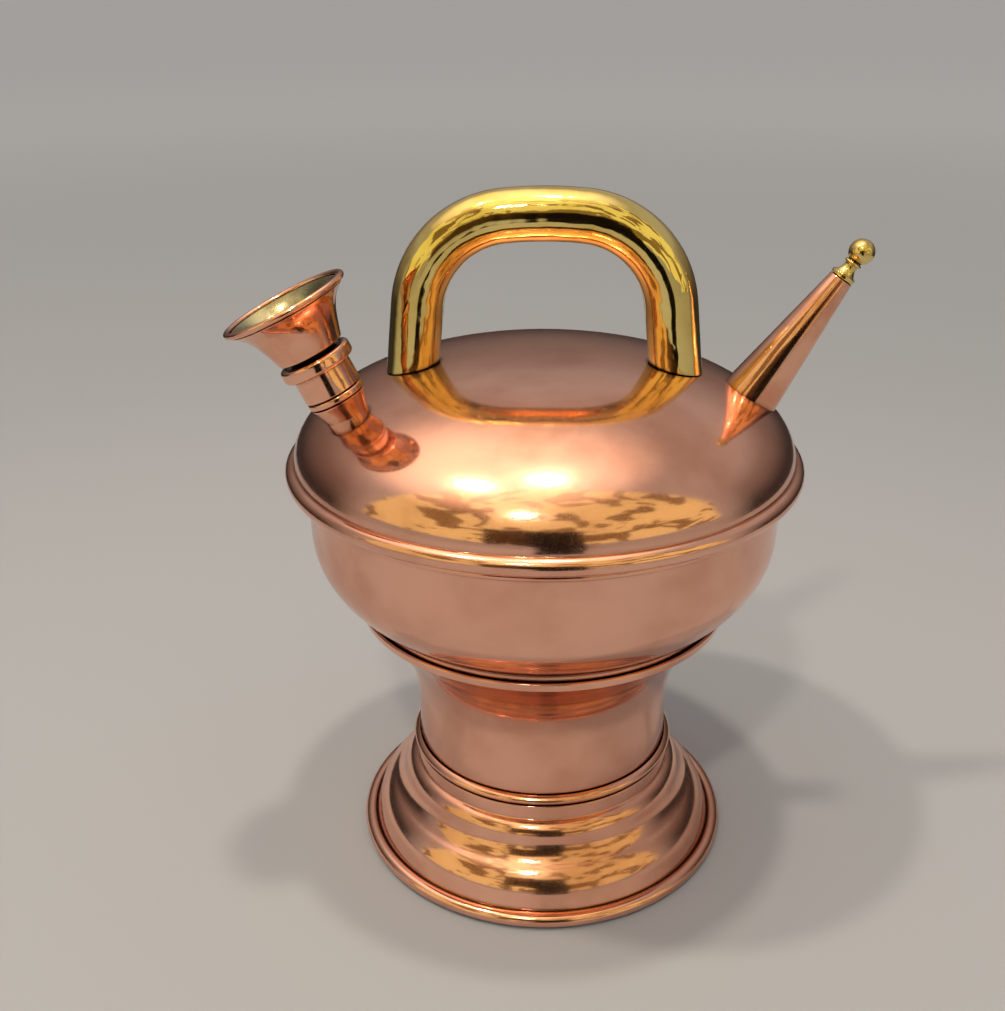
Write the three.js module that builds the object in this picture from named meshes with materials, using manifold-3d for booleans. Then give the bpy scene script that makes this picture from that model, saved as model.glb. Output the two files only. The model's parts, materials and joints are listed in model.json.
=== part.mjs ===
// Copper steam kettle: a spun copper boiler on a pedestal foot, with a brass bail handle
// soldered across the dome, a swivelling mouth that carries a lift-out trumpet, and a slim
// cone spout closed by a ball-topped stopper.
// Millimetres, +Z up, origin on the axis of the boiler at the underside of the base plate.
// The trumpet stands on the -X side, the cone spout on the +X side, and -Y is the front.

import * as THREE from 'three';
import { mergeVertices } from 'three/addons/utils/BufferGeometryUtils.js';
import Module from 'manifold-3d';

const wasm = await Module();
wasm.setup();

// Sheet and clearances
const SHEET = 1.1; // wall of every spun copper shell
const SEAT_GAP = 0.3; // between pieces that are soldered or seated together
const RUNNING_GAP = 0.35; // between pieces that turn or slide on each other

// Foot, from the floor up
const FOOT_RADIUS = 61.6; // outside of the wired rim
const FOOT_BEAD_RADIUS = 2.3; // half thickness of the wired rim
const FOOT_CURL_START = -150; // angle round the wire at which the sheet's edge lies
const FOOT_CURL_END = 140; // angle at which the sheet leaves the wire
const BAND_TOP_RADIUS = 56.1; // top of the steep band above the rim
const BAND_TOP_HEIGHT = 8.3;
const SWELL_HEIGHT = 7; // rise of the swelling stretch above the band
const SWELL_TOP_RADIUS = 51.1;
const HOLLOW_HEIGHT = 5.9; // rise of the hollow stretch above the swell
const HOLLOW_TOP_RADIUS = 46.6;
const FOOT_BULGE = 0.7; // how far each of these stretches stands off its chord
const RISER_HEIGHT = 1.8; // short steep stretch above the hollow
const RISER_LEAN = 0.3; // how far it leans in
const SHOULDER_HEIGHT = 4.1; // rise of the round shoulder up to the collar
const COLLAR_HEIGHT = 4.9; // upright collar that takes the column
const BASE_PLATE_THICKNESS = 1.2;

// Column
const COLUMN_RADIUS = 41.1;
const COLUMN_LAP = 5.5; // length of column inside the collar
const COLUMN_BEAD_HEIGHT = 3.4; // half-round moulding on top of the collar
const COLUMN_BEAD_PROUD = 2.2; // how far it stands out from the column
const COLUMN_STRAIGHT = 13; // straight stretch above the collar
const COVE_HEIGHT = 38.3; // rise of the trumpet-shaped flare under the bowl
const COVE_POWER = 2.7; // how late the flare opens
const WAIST_RADIUS = 57; // end of the flare
const LIP_OUT = 1.8; // the lip that turns up round the bowl's base
const LIP_HEIGHT = 3.5;

// Bowl
const BOWL_RADIUS = 72.2;
const BOWL_REVEAL = 1.8; // shadow gap between the lip and the curve of the bowl
const BOWL_CURVE_HEIGHT = 26.4;
const BOWL_POWER = 2.35; // how square the shoulder of the bowl is
const BOWL_WALL_HEIGHT = 11.5;
const RIDGE_HEIGHT = 3.3; // swaged ridge that the dome's rim sits on
const RIDGE_OUT = 2.5;
const UPSTAND_HEIGHT = 8; // lap of the bowl inside the dome

// Dome
const DOME_RADIUS = 76;
const DOME_RISE = 29.5;
const DOME_POWER = 2.4; // 2 would be an ellipse, more is fuller
const RIM_BEAD_RADIUS = 2.7; // half thickness of the dome's wired rim
const RIM_CURL_START = -190; // angle round the wire at which the sheet's edge lies

// Handle
const HANDLE_RADIUS = 7.8;
const HANDLE_WALL = 1.2;
const HANDLE_RISE = 41.7; // centreline of the grip above the top of the dome
const CROWN_RADIUS = 116; // gentle bow of the grip
const CROWN_ANGLE = 5.8;
const CORNER_RADIUS = 28.4;
const LEG_SPLAY = 6.1; // the legs lean out by this angle as they go down

// Swivelling mouth, measured along its own axis from the dome's surface
const MOUTH_INSET = 15.1; // from the dome's edge in to the foot of the neck
const MOUTH_BEARING = -152.9; // place of the neck round the dome
const MOUTH_HEADING = -179; // direction in which the neck leans
const MOUTH_TILT = 25.9; // lean from the vertical
const NECK_RADIUS = 6.2;
const NECK_TAIL = 3.5; // length inside the dome
const NECK_STRAIGHT = 1.6; // plain length above the dome, before it flares
const NECK_FLARE_RADIUS = 8;
const NECK_HEIGHT = 7.4; // up to the shoulder ring
const NECK_BORE = 4.3;
const NECK_RING_RADIUS = 8.4;
const NECK_RING_HEIGHT = 2;
const PIVOT_RADIUS = 5.3; // part of the neck that the sleeve turns on
const PIVOT_LIP_RADIUS = 6.2; // flared end that keeps the sleeve on
const PIVOT_LIP_HEIGHT = 1;
const SLEEVE_RADIUS = 8.5;
const SLEEVE_TOP_RADIUS = 8.4;
const SLEEVE_FLOOR = 1.5; // thickness of the floor that turns on the pivot
const SLEEVE_TAPER_HEIGHT = 7.3;
const COLLAR_RING_RADIUS = 10.5;
const COLLAR_RING_HEIGHT = 4.1;

// Trumpet
const TRUMPET_GAP = 1.3; // open recess between the collar ring and the trumpet
const SPIGOT_WALL = 0.9;
const TRUMPET_BASE_RADIUS = 9.6;
const TRUMPET_MOUTH_RADIUS = 17.1; // edge of the bell's sheet, inside the rolled lip
const TRUMPET_HEIGHT = 13.2;
const TRUMPET_TAPER = 0.56; // share of the spread that is a plain cone
const TRUMPET_POWER = 4.6; // how late the rest opens
const TRUMPET_SHEET = 0.8;
const LINER_SHEET = 0.6;
const TRUMPET_LIP_RADIUS = 0.9; // half thickness of the rolled lip

// Cone spout and stopper, measured along their own axis from the dome's surface
const SPOUT_INSET = 13.6; // from the dome's edge in to the foot of the cone
const SPOUT_TILT = 33.3;
const SPOUT_BASE_RADIUS = 8.5;
const SPOUT_TIP_RADIUS = 3.5;
const SPOUT_LENGTH = 41.6;
const SPOUT_TAIL = 2.5; // length inside the dome
const SPOUT_WALL = 1;
const STOPPER_FLANGE_RADIUS = 3.65;
const STOPPER_FLANGE_HEIGHT = 1.1;
const STOPPER_WAIST_RADIUS = 1.9;
const STOPPER_WAIST_HEIGHT = 4.7;
const STOPPER_BALL_RADIUS = 3.7;
const STOPPER_SHANK_LENGTH = 12;

// Fineness of the facets
const BODY_SEGMENTS = 36;
const SMALL_SEGMENTS = 18;
const FAIR_SHARE = 0.2; // share of a wall by which its inside may stray from a true offset

// Levels that follow from the dimensions above
const swellTop = BAND_TOP_HEIGHT + SWELL_HEIGHT;
const hollowTop = swellTop + HOLLOW_HEIGHT;
const shoulderBase = hollowTop + RISER_HEIGHT;
const collarBase = shoulderBase + SHOULDER_HEIGHT;
const collarTop = collarBase + COLLAR_HEIGHT;
const coveBase = collarTop + COLUMN_STRAIGHT;
const coveTop = coveBase + COVE_HEIGHT;
const lipTop = coveTop + LIP_HEIGHT;
const bowlBase = lipTop + BOWL_REVEAL;
const bowlWallBase = bowlBase + BOWL_CURVE_HEIGHT;
const ridgeBase = bowlWallBase + BOWL_WALL_HEIGHT;
const ridgeTop = ridgeBase + RIDGE_HEIGHT;
const rimHeight = ridgeTop + SEAT_GAP + RIM_BEAD_RADIUS;
const domeBase = rimHeight + RIM_BEAD_RADIUS - SEAT_GAP;
const domeTop = domeBase + DOME_RISE;
const lipRadius = WAIST_RADIUS + LIP_OUT;
const bowlBaseRadius = lipRadius - SHEET - SEAT_GAP;

const radians = THREE.MathUtils.degToRad;
const point = (radius, height) => new THREE.Vector2(radius, height);

// Points on an arc about (radius, height), from one angle to the other in degrees
function arc(radius, height, size, from, to, steps) {
  const points = [];
  for (let i = 0; i <= steps; i++) {
    const angle = radians(from + ((to - from) * i) / steps);
    points.push(point(radius + size * Math.cos(angle), height + size * Math.sin(angle)));
  }
  return points;
}

// Points on the arc from one point to another that stands proud of its chord by bulge,
// on the right-hand side of the way along it; a negative bulge hollows it
function bow(start, end, bulge, steps) {
  const chord = end.clone().sub(start);
  const side = point(chord.y, -chord.x).normalize();
  const points = [];
  for (let i = 0; i <= steps; i++) {
    const t = i / steps;
    const rise = 4 * bulge * t * (1 - t);
    points.push(start.clone().addScaledVector(chord, t).addScaledVector(side, rise));
  }
  return points;
}

// The same line moved to its left by distance, with mitred corners
function offset(line, distance) {
  const normals = [];
  for (let i = 1; i < line.length; i++) {
    const run = line[i].clone().sub(line[i - 1]).normalize();
    normals.push(point(-run.y, run.x));
  }
  return line.map((place, i) => {
    const before = normals[Math.max(i - 1, 0)];
    const after = normals[Math.min(i, normals.length - 1)];
    const mitre = before.clone().add(after).normalize();
    return place.clone().addScaledVector(mitre, distance / mitre.dot(after));
  });
}

// The same line without the points that lie within tolerance of the straight run past them
function thinned(line, tolerance) {
  const kept = [line[0]];
  let passed = [];
  line.slice(1).forEach((place) => {
    const from = kept[kept.length - 1];
    const run = place.clone().sub(from);
    const reach = tolerance * run.length();
    if (passed.some((skipped) => Math.abs(run.cross(skipped.clone().sub(from))) > reach)) {
      kept.push(passed[passed.length - 1]);
      passed = [];
    }
    passed.push(place);
  });
  kept.push(passed[passed.length - 1]);
  return kept;
}

// Closed section of a sheet whose outside is the given line, walked with the inside on its left
function sheetSection(outside, wall) {
  const inside = thinned(offset(outside, wall), wall * FAIR_SHARE);
  inside.forEach((place) => place.setX(Math.max(place.x, 0)));
  return [...outside, ...inside.reverse()];
}

// A closed body with shared corners and faces that point out
function closedBody(geometry) {
  geometry.deleteAttribute('normal');
  geometry.deleteAttribute('uv');
  const merged = mergeVertices(geometry, 1e-4);
  const index = merged.index.array;
  const position = merged.attributes.position;
  const corner = (i) => new THREE.Vector3().fromBufferAttribute(position, i);
  const faces = [];
  let volume = 0;
  for (let i = 0; i < index.length; i += 3) {
    const [a, b, c] = index.slice(i, i + 3);
    if (a === b || b === c || c === a) continue;
    faces.push([a, b, c]);
    volume += corner(a).dot(corner(b).cross(corner(c)));
  }
  const outward = volume > 0 ? faces : faces.map(([a, b, c]) => [a, c, b]);
  merged.setIndex(outward.flat());
  return merged;
}

// Section turned about the Z axis; it starts and ends on the axis, or closes on itself
function revolve(section, segments) {
  const first = section[0];
  const last = section[section.length - 1];
  const openOnAxis = first.x === 0 && last.x === 0;
  const line = openOnAxis ? section : [...section, first.clone()];
  const geometry = new THREE.LatheGeometry(line, segments);
  geometry.rotateX(Math.PI / 2);
  return closedBody(geometry);
}

function toManifold(geometry) {
  const mesh = new wasm.Mesh({
    numProp: 3,
    vertProperties: new Float32Array(geometry.attributes.position.array),
    triVerts: new Uint32Array(geometry.index.array),
  });
  return new wasm.Manifold(mesh);
}

function fromManifold(body) {
  const mesh = body.getMesh();
  const geometry = new THREE.BufferGeometry();
  geometry.setAttribute('position', new THREE.BufferAttribute(mesh.vertProperties, 3));
  geometry.setIndex(new THREE.BufferAttribute(mesh.triVerts, 1));
  return geometry;
}

function cut(geometry, cutters) {
  const body = cutters.reduce((rest, cutter) => rest.subtract(toManifold(cutter)), toManifold(geometry));
  return fromManifold(body);
}

// Height of the dome's outside at a distance from the axis
function domeHeight(distance) {
  return domeBase + DOME_RISE * Math.sqrt(1 - (distance / DOME_RADIUS) ** DOME_POWER);
}

// Outside of the dome from its rim to its top
function domeLine(steps) {
  const points = [];
  for (let i = 0; i < steps; i++) {
    const angle = (Math.PI / 2) * (i / steps);
    const radius = DOME_RADIUS * Math.cos(angle) ** (2 / DOME_POWER);
    points.push(point(radius, domeBase + DOME_RISE * Math.sin(angle)));
  }
  points.push(point(0, domeTop));
  return points;
}

// A frame that stands on the dome and leans over: its own Z runs along the spout
function stand(distance, bearing, heading, tilt) {
  const frame = new THREE.Group();
  const around = radians(bearing);
  frame.position.set(distance * Math.cos(around), distance * Math.sin(around), domeHeight(distance));
  const lean = radians(tilt);
  const way = radians(heading);
  const axis = new THREE.Vector3(
    Math.sin(lean) * Math.cos(way), Math.sin(lean) * Math.sin(way), Math.cos(lean),
  );
  frame.quaternion.setFromUnitVectors(new THREE.Vector3(0, 0, 1), axis);
  frame.updateMatrixWorld(true);
  return frame;
}

const mouthFrame = stand(DOME_RADIUS - MOUTH_INSET, MOUTH_BEARING, MOUTH_HEADING, MOUTH_TILT);
const spoutFrame = stand(DOME_RADIUS - SPOUT_INSET, 0, 0, SPOUT_TILT);

// Radius of the cone spout's outside at a distance along its axis
function spoutRadius(along) {
  return SPOUT_BASE_RADIUS + ((SPOUT_TIP_RADIUS - SPOUT_BASE_RADIUS) * along) / SPOUT_LENGTH;
}

// Cutter for a round hole along a frame's axis, with a radius at each end
function taperCutter(frame, from, fromRadius, to, toRadius) {
  const section = [point(0, from), point(fromRadius, from), point(toRadius, to), point(0, to)];
  return revolve(section, SMALL_SEGMENTS).applyMatrix4(frame.matrixWorld);
}

// Points on a whole circle about (radius, height)
function circle(radius, height, size, sides) {
  return arc(radius, height, size, 0, 360, sides).slice(0, sides);
}

// Ring of round wire
function wireRing(radius, height, wire) {
  return revolve(circle(radius, height, wire, 6), BODY_SEGMENTS);
}

const footBeadCentre = FOOT_RADIUS - FOOT_BEAD_RADIUS;

// The foot's sheet starts as a curl round the rim wire, rises in a steep band, swells, turns
// hollow, climbs a short riser and rounds its shoulder into the upright collar that takes
// the column
function footShell() {
  const collarRadius = COLUMN_RADIUS + SEAT_GAP + SHEET;
  const bandEnd = point(BAND_TOP_RADIUS, BAND_TOP_HEIGHT);
  const swellEnd = point(SWELL_TOP_RADIUS, swellTop);
  const hollowEnd = point(HOLLOW_TOP_RADIUS, hollowTop);
  const riserEnd = point(HOLLOW_TOP_RADIUS - RISER_LEAN, shoulderBase);
  const outside = [
    ...arc(footBeadCentre, FOOT_BEAD_RADIUS, FOOT_BEAD_RADIUS, FOOT_CURL_START, FOOT_CURL_END, 7),
    ...bow(bandEnd, swellEnd, FOOT_BULGE, 2),
    ...bow(swellEnd, hollowEnd, -FOOT_BULGE, 2).slice(1),
    ...bow(riserEnd, point(collarRadius, collarBase), FOOT_BULGE, 2),
    point(collarRadius, collarTop - SHEET / 2),
    point(collarRadius - SHEET / 2, collarTop),
  ];
  return revolve(sheetSection(outside, SHEET), BODY_SEGMENTS);
}

// Flat plate that closes the boiler underneath, inside the wired rim
function basePlate() {
  const radius = footBeadCentre - FOOT_BEAD_RADIUS - SEAT_GAP;
  const section = [
    point(0, 0), point(radius, 0), point(radius, BASE_PLATE_THICKNESS), point(0, BASE_PLATE_THICKNESS),
  ];
  return revolve(section, BODY_SEGMENTS);
}

// The column laps inside the collar, flares out under the bowl and turns up in a lip
function columnShell() {
  const outside = [point(COLUMN_RADIUS, collarTop - COLUMN_LAP)];
  const steps = 8;
  for (let i = 0; i <= steps; i++) {
    const t = Math.sqrt(i / steps);
    const radius = COLUMN_RADIUS + (WAIST_RADIUS - COLUMN_RADIUS) * t ** COVE_POWER;
    outside.push(point(radius, coveBase + COVE_HEIGHT * t));
  }
  outside.push(point(lipRadius - LIP_OUT * 0.3, coveTop + LIP_HEIGHT * 0.3));
  outside.push(point(lipRadius, lipTop));
  return revolve(sheetSection(outside, SHEET), BODY_SEGMENTS);
}

// Half-round moulding round the column, on top of the collar
function columnBead() {
  const inner = COLUMN_RADIUS + SEAT_GAP;
  const half = COLUMN_BEAD_HEIGHT / 2;
  const middle = collarTop + SEAT_GAP + half;
  const outer = COLUMN_RADIUS + COLUMN_BEAD_PROUD;
  const section = [point(inner, middle - half)];
  section.push(...bow(point(inner + SEAT_GAP, middle - half), point(inner + SEAT_GAP, middle + half),
    outer - inner - SEAT_GAP, 4));
  section.push(point(inner, middle + half));
  return revolve(section, BODY_SEGMENTS);
}

// The bowl stands inside the column's lip, curves out to a straight wall, bulges in the ridge
// that carries the dome's rim, and laps up inside the dome
function bowlShell() {
  const tail = lipTop - LIP_HEIGHT * 0.35;
  const outside = [point(bowlBaseRadius, tail)];
  const steps = 7;
  for (let i = 0; i <= steps; i++) {
    const t = 1 - i / steps;
    const radius = BOWL_RADIUS - (BOWL_RADIUS - bowlBaseRadius) * t ** BOWL_POWER;
    outside.push(point(radius, bowlWallBase - BOWL_CURVE_HEIGHT * t));
  }
  const upstand = DOME_RADIUS - RIM_BEAD_RADIUS - SEAT_GAP;
  outside.push(point(BOWL_RADIUS, ridgeBase));
  outside.push(point(BOWL_RADIUS + RIDGE_OUT * 0.8, ridgeBase + RIDGE_HEIGHT * 0.2));
  outside.push(point(BOWL_RADIUS + RIDGE_OUT, ridgeBase + RIDGE_HEIGHT * 0.5));
  outside.push(point(BOWL_RADIUS + RIDGE_OUT, ridgeTop));
  outside.push(point(upstand, ridgeTop));
  outside.push(point(upstand, ridgeTop + UPSTAND_HEIGHT));
  const inside = [
    point(upstand - SHEET, ridgeTop + UPSTAND_HEIGHT),
    point(upstand - SHEET, ridgeTop),
    point(BOWL_RADIUS - SHEET, ridgeBase),
  ];
  const below = outside.slice(0, steps + 2);
  inside.push(...thinned(offset(below, SHEET), SHEET * FAIR_SHARE).reverse());
  return revolve([...outside, ...inside], BODY_SEGMENTS);
}

// The dome's sheet starts as a curl round the rim wire and rises to the crown, with a hole
// for the neck and one for the cone spout
function domeShell() {
  const outside = [
    ...arc(DOME_RADIUS, rimHeight, RIM_BEAD_RADIUS, RIM_CURL_START, 90, 7),
    ...domeLine(10).slice(1),
  ];
  const inside = offset(outside, SHEET);
  inside[inside.length - 1].set(0, domeTop - SHEET);
  const shell = revolve([...outside, ...thinned(inside, SHEET * FAIR_SHARE).reverse()], BODY_SEGMENTS);
  const neckHole = NECK_RADIUS + SEAT_GAP;
  return cut(shell, [
    taperCutter(mouthFrame, -NECK_TAIL * 2, neckHole, NECK_TAIL * 2, neckHole),
    taperCutter(spoutFrame, -SPOUT_TAIL * 2, spoutRadius(-SPOUT_TAIL * 2) + SEAT_GAP,
      SPOUT_TAIL * 2, spoutRadius(SPOUT_TAIL * 2) + SEAT_GAP),
  ]);
}

// Centreline of the handle from one leg's foot over the grip to the other
class HandleLine extends THREE.Curve {
  constructor(legLength) {
    super();
    this.legLength = legLength;
    this.crown = CROWN_RADIUS * radians(CROWN_ANGLE);
    this.corner = CORNER_RADIUS * radians(90 - LEG_SPLAY - CROWN_ANGLE);
    this.half = this.crown + this.corner + this.legLength;
  }

  // Place at a distance from the middle of the grip towards one leg
  place(distance) {
    const top = domeTop + HANDLE_RISE;
    const crownTurn = Math.min(distance, this.crown) / CROWN_RADIUS;
    const inCorner = THREE.MathUtils.clamp(distance - this.crown, 0, this.corner);
    const cornerTurn = crownTurn + inCorner / CORNER_RADIUS;
    const inLeg = Math.max(distance - this.crown - this.corner, 0);
    const x = CROWN_RADIUS * Math.sin(crownTurn)
      + CORNER_RADIUS * (Math.sin(cornerTurn) - Math.sin(crownTurn)) + inLeg * Math.cos(cornerTurn);
    const drop = CROWN_RADIUS * (1 - Math.cos(crownTurn))
      + CORNER_RADIUS * (Math.cos(crownTurn) - Math.cos(cornerTurn)) + inLeg * Math.sin(cornerTurn);
    return [x, top - drop];
  }

  getPoint(t, target = new THREE.Vector3()) {
    const along = (2 * t - 1) * this.half;
    const [x, height] = this.place(Math.abs(along));
    return target.set(Math.sign(along) * x, 0, height);
  }
}

// Brass tube bent into a bail, its open ends cut to sit on the dome
function handleTube() {
  const legLength = HANDLE_RISE * 0.7;
  const line = new HandleLine(legLength);
  const sweep = (radius) => {
    const ring = new THREE.Shape();
    ring.absarc(0, 0, radius, 0, Math.PI * 2);
    const options = { steps: 22, curveSegments: 7, extrudePath: line };
    return closedBody(new THREE.ExtrudeGeometry(ring, options));
  };
  const seat = offset(domeLine(10), -SEAT_GAP);
  seat[seat.length - 1].setX(0);
  const envelope = revolve([point(0, domeBase), ...seat], BODY_SEGMENTS);
  return cut(sweep(HANDLE_RADIUS), [sweep(HANDLE_RADIUS - HANDLE_WALL), envelope]);
}

// Levels along the mouth's axis
const neckRingTop = NECK_HEIGHT + NECK_RING_HEIGHT;
const sleeveBase = neckRingTop + SEAT_GAP;
const pivotLipBase = sleeveBase + SLEEVE_FLOOR + RUNNING_GAP;
const pivotTop = pivotLipBase + PIVOT_LIP_HEIGHT;
const sleeveTaperTop = sleeveBase + SLEEVE_TAPER_HEIGHT;
const sleeveTop = sleeveTaperTop + COLLAR_RING_HEIGHT;
const sleeveBore = PIVOT_LIP_RADIUS + RUNNING_GAP;
const spigotRadius = sleeveBore - RUNNING_GAP;
const trumpetBase = sleeveTop + TRUMPET_GAP;
const trumpetTop = trumpetBase + TRUMPET_HEIGHT;

// Neck soldered into the dome; its reduced end is the pivot, flared over to hold the sleeve
function neckTube() {
  const outside = [
    point(NECK_RADIUS, -NECK_TAIL),
    point(NECK_RADIUS, NECK_STRAIGHT),
    point(NECK_FLARE_RADIUS, NECK_HEIGHT - SEAT_GAP),
    point(PIVOT_RADIUS, NECK_HEIGHT - SEAT_GAP),
    point(PIVOT_RADIUS, pivotLipBase),
    point(PIVOT_LIP_RADIUS, pivotLipBase),
    point(PIVOT_LIP_RADIUS, pivotTop),
  ];
  return revolve([...outside, point(NECK_BORE, pivotTop), point(NECK_BORE, -NECK_TAIL)], SMALL_SEGMENTS);
}

// Ring with rounded edges round a frame's axis
function roundedRing(inner, outer, base, height) {
  const round = Math.min(height * 0.35, (outer - inner) * 0.7);
  return revolve([
    point(inner, base),
    ...arc(outer - round, base + round, round, -90, 0, 3),
    ...arc(outer - round, base + height - round, round, 0, 90, 3),
    point(inner, base + height),
  ], SMALL_SEGMENTS);
}

// Shoulder ring soldered round the neck, under the swivelling sleeve
function neckRing() {
  return roundedRing(PIVOT_RADIUS + SEAT_GAP, NECK_RING_RADIUS, NECK_HEIGHT, NECK_RING_HEIGHT);
}

// Ring soldered round the top of the sleeve
function collarRing() {
  const inner = SLEEVE_TOP_RADIUS + SEAT_GAP;
  return roundedRing(inner, COLLAR_RING_RADIUS, sleeveTaperTop, COLLAR_RING_HEIGHT);
}

// Sleeve that turns on the neck's pivot; its bore takes the trumpet's spigot
function mouthSleeve() {
  const floorTop = sleeveBase + SLEEVE_FLOOR;
  return revolve([
    point(PIVOT_RADIUS + RUNNING_GAP, sleeveBase),
    point(SLEEVE_RADIUS, sleeveBase),
    point(SLEEVE_TOP_RADIUS, sleeveTaperTop),
    point(SLEEVE_TOP_RADIUS, sleeveTop),
    point(sleeveBore, sleeveTop),
    point(sleeveBore, floorTop),
    point(PIVOT_RADIUS + RUNNING_GAP, floorTop),
  ], SMALL_SEGMENTS);
}

// Outside of the trumpet's bell from its base to its mouth
function bellLine(steps) {
  const points = [];
  for (let i = 0; i <= steps; i++) {
    const t = (i / steps) ** 0.6;
    const spread = TRUMPET_TAPER * t + (1 - TRUMPET_TAPER) * t ** TRUMPET_POWER;
    const radius = TRUMPET_BASE_RADIUS + (TRUMPET_MOUTH_RADIUS - TRUMPET_BASE_RADIUS) * spread;
    points.push(point(radius, trumpetBase + TRUMPET_HEIGHT * t));
  }
  return points;
}

// Spigot that drops into the sleeve and carries the bell on a small flange
function trumpetSpigot() {
  const bore = spigotRadius - SPIGOT_WALL;
  const flange = spigotRadius + SPIGOT_WALL;
  return revolve([
    point(bore, pivotTop + RUNNING_GAP),
    point(spigotRadius, pivotTop + RUNNING_GAP),
    point(spigotRadius, trumpetBase - SPIGOT_WALL),
    point(flange, trumpetBase - SPIGOT_WALL),
    point(flange, trumpetBase + TRUMPET_SHEET),
    point(bore, trumpetBase + TRUMPET_SHEET),
  ], SMALL_SEGMENTS);
}

// Copper bell with a floor that fits round the spigot
function trumpetShell() {
  const floorHole = spigotRadius + SPIGOT_WALL + SEAT_GAP;
  const outside = [point(floorHole, trumpetBase), ...bellLine(6)];
  const section = sheetSection(outside, TRUMPET_SHEET);
  section[section.length - 1].setX(floorHole);
  return revolve(section, SMALL_SEGMENTS);
}

// Bright funnel that lines the bell from the spigot's bore to the lip
function trumpetLiner() {
  const bell = offset(bellLine(6), TRUMPET_SHEET + SEAT_GAP);
  bell[0].setY(trumpetBase + TRUMPET_SHEET + SEAT_GAP);
  const throat = point(spigotRadius - SPIGOT_WALL + LINER_SHEET, bell[0].y);
  const section = sheetSection([throat, ...bell], LINER_SHEET);
  return revolve(section, SMALL_SEGMENTS);
}

// Rolled lip over the edges of the bell and its liner
function trumpetRim() {
  const bell = bellLine(6);
  const edge = bell[bell.length - 1];
  const along = edge.clone().sub(bell[bell.length - 2]).normalize();
  const inward = point(-along.y, along.x);
  const centre = edge.clone()
    .addScaledVector(inward, (TRUMPET_SHEET + SEAT_GAP + LINER_SHEET) / 2)
    .addScaledVector(along, SEAT_GAP + TRUMPET_LIP_RADIUS);
  return revolve(circle(centre.x, centre.y, TRUMPET_LIP_RADIUS, 8), SMALL_SEGMENTS);
}

// Seamed copper cone, soldered into the dome
function spoutCone() {
  return revolve([
    point(spoutRadius(-SPOUT_TAIL), -SPOUT_TAIL),
    point(SPOUT_TIP_RADIUS, SPOUT_LENGTH),
    point(SPOUT_TIP_RADIUS - SPOUT_WALL, SPOUT_LENGTH),
    point(spoutRadius(-SPOUT_TAIL) - SPOUT_WALL, -SPOUT_TAIL),
  ], SMALL_SEGMENTS);
}

// Turned brass stopper: shank in the cone's tip, flange, waist and ball
function stopper() {
  const shank = SPOUT_TIP_RADIUS - SPOUT_WALL - RUNNING_GAP;
  const flangeBase = SPOUT_LENGTH + SEAT_GAP;
  const flangeTop = flangeBase + STOPPER_FLANGE_HEIGHT;
  const ballCentre = flangeTop + STOPPER_WAIST_HEIGHT + STOPPER_BALL_RADIUS * 0.8;
  const seam = THREE.MathUtils.radToDeg(Math.asin(STOPPER_WAIST_RADIUS / STOPPER_BALL_RADIUS));
  const ball = arc(0, ballCentre, STOPPER_BALL_RADIUS, -90 + seam, 90, 6);
  ball[ball.length - 1].setX(0);
  return revolve([
    point(0, flangeBase - STOPPER_SHANK_LENGTH),
    point(shank * 0.8, flangeBase - STOPPER_SHANK_LENGTH),
    point(shank, flangeBase),
    point(STOPPER_FLANGE_RADIUS, flangeBase),
    point(STOPPER_FLANGE_RADIUS, flangeTop),
    point(STOPPER_WAIST_RADIUS, flangeTop + STOPPER_WAIST_RADIUS * 0.5),
    ...ball,
  ], SMALL_SEGMENTS);
}

const copper = new THREE.MeshStandardMaterial({ color: 0xb0765c, roughness: 0.16, metalness: 1 });
const brass = new THREE.MeshStandardMaterial({ color: 0xc7a65c, roughness: 0.14, metalness: 1 });
const paleBrass = new THREE.MeshStandardMaterial({ color: 0xcfc6b2, roughness: 0.3, metalness: 1 });
const iron = new THREE.MeshStandardMaterial({ color: 0x4a4643, roughness: 0.6, metalness: 1 });

function piece(name, geometry, material) {
  const mesh = new THREE.Mesh(geometry, material);
  mesh.name = name;
  return mesh;
}

const rimWire = RIM_BEAD_RADIUS - SHEET - SEAT_GAP;
const footWire = FOOT_BEAD_RADIUS - SHEET - SEAT_GAP;

const kettle = new THREE.Group();
kettle.add(
  piece('base_plate', basePlate(), copper),
  piece('foot_shell', footShell(), copper),
  piece('foot_rim_wire', wireRing(footBeadCentre, FOOT_BEAD_RADIUS, footWire), iron),
  piece('column_shell', columnShell(), copper),
  piece('column_bead', columnBead(), copper),
  piece('bowl_shell', bowlShell(), copper),
  piece('dome_shell', domeShell(), copper),
  piece('dome_rim_wire', wireRing(DOME_RADIUS, rimHeight, rimWire), iron),
  piece('handle_tube', handleTube(), brass),
);
mouthFrame.add(
  piece('neck_tube', neckTube(), copper),
  piece('neck_ring', neckRing(), copper),
  piece('mouth_sleeve', mouthSleeve(), copper),
  piece('collar_ring', collarRing(), copper),
  piece('trumpet_spigot', trumpetSpigot(), brass),
  piece('trumpet_shell', trumpetShell(), copper),
  piece('trumpet_liner', trumpetLiner(), paleBrass),
  piece('trumpet_rim', trumpetRim(), copper),
);
spoutFrame.add(
  piece('spout_cone', spoutCone(), copper),
  piece('stopper', stopper(), brass),
);
kettle.add(mouthFrame, spoutFrame);

export default kettle;
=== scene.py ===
"""Looks of a copper steam kettle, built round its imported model.

Every visible piece is turned, bent or cut again here at a finer grain than the solids, from the
same sizes, and dressed in polished copper, brass or pale tinned brass. Sizes are in millimetres
and become metres only where a mesh is made.
"""

import json
import logging
import math
from dataclasses import dataclass
from enum import Enum

import bmesh
import bpy
from mathutils import Matrix, Vector

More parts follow.
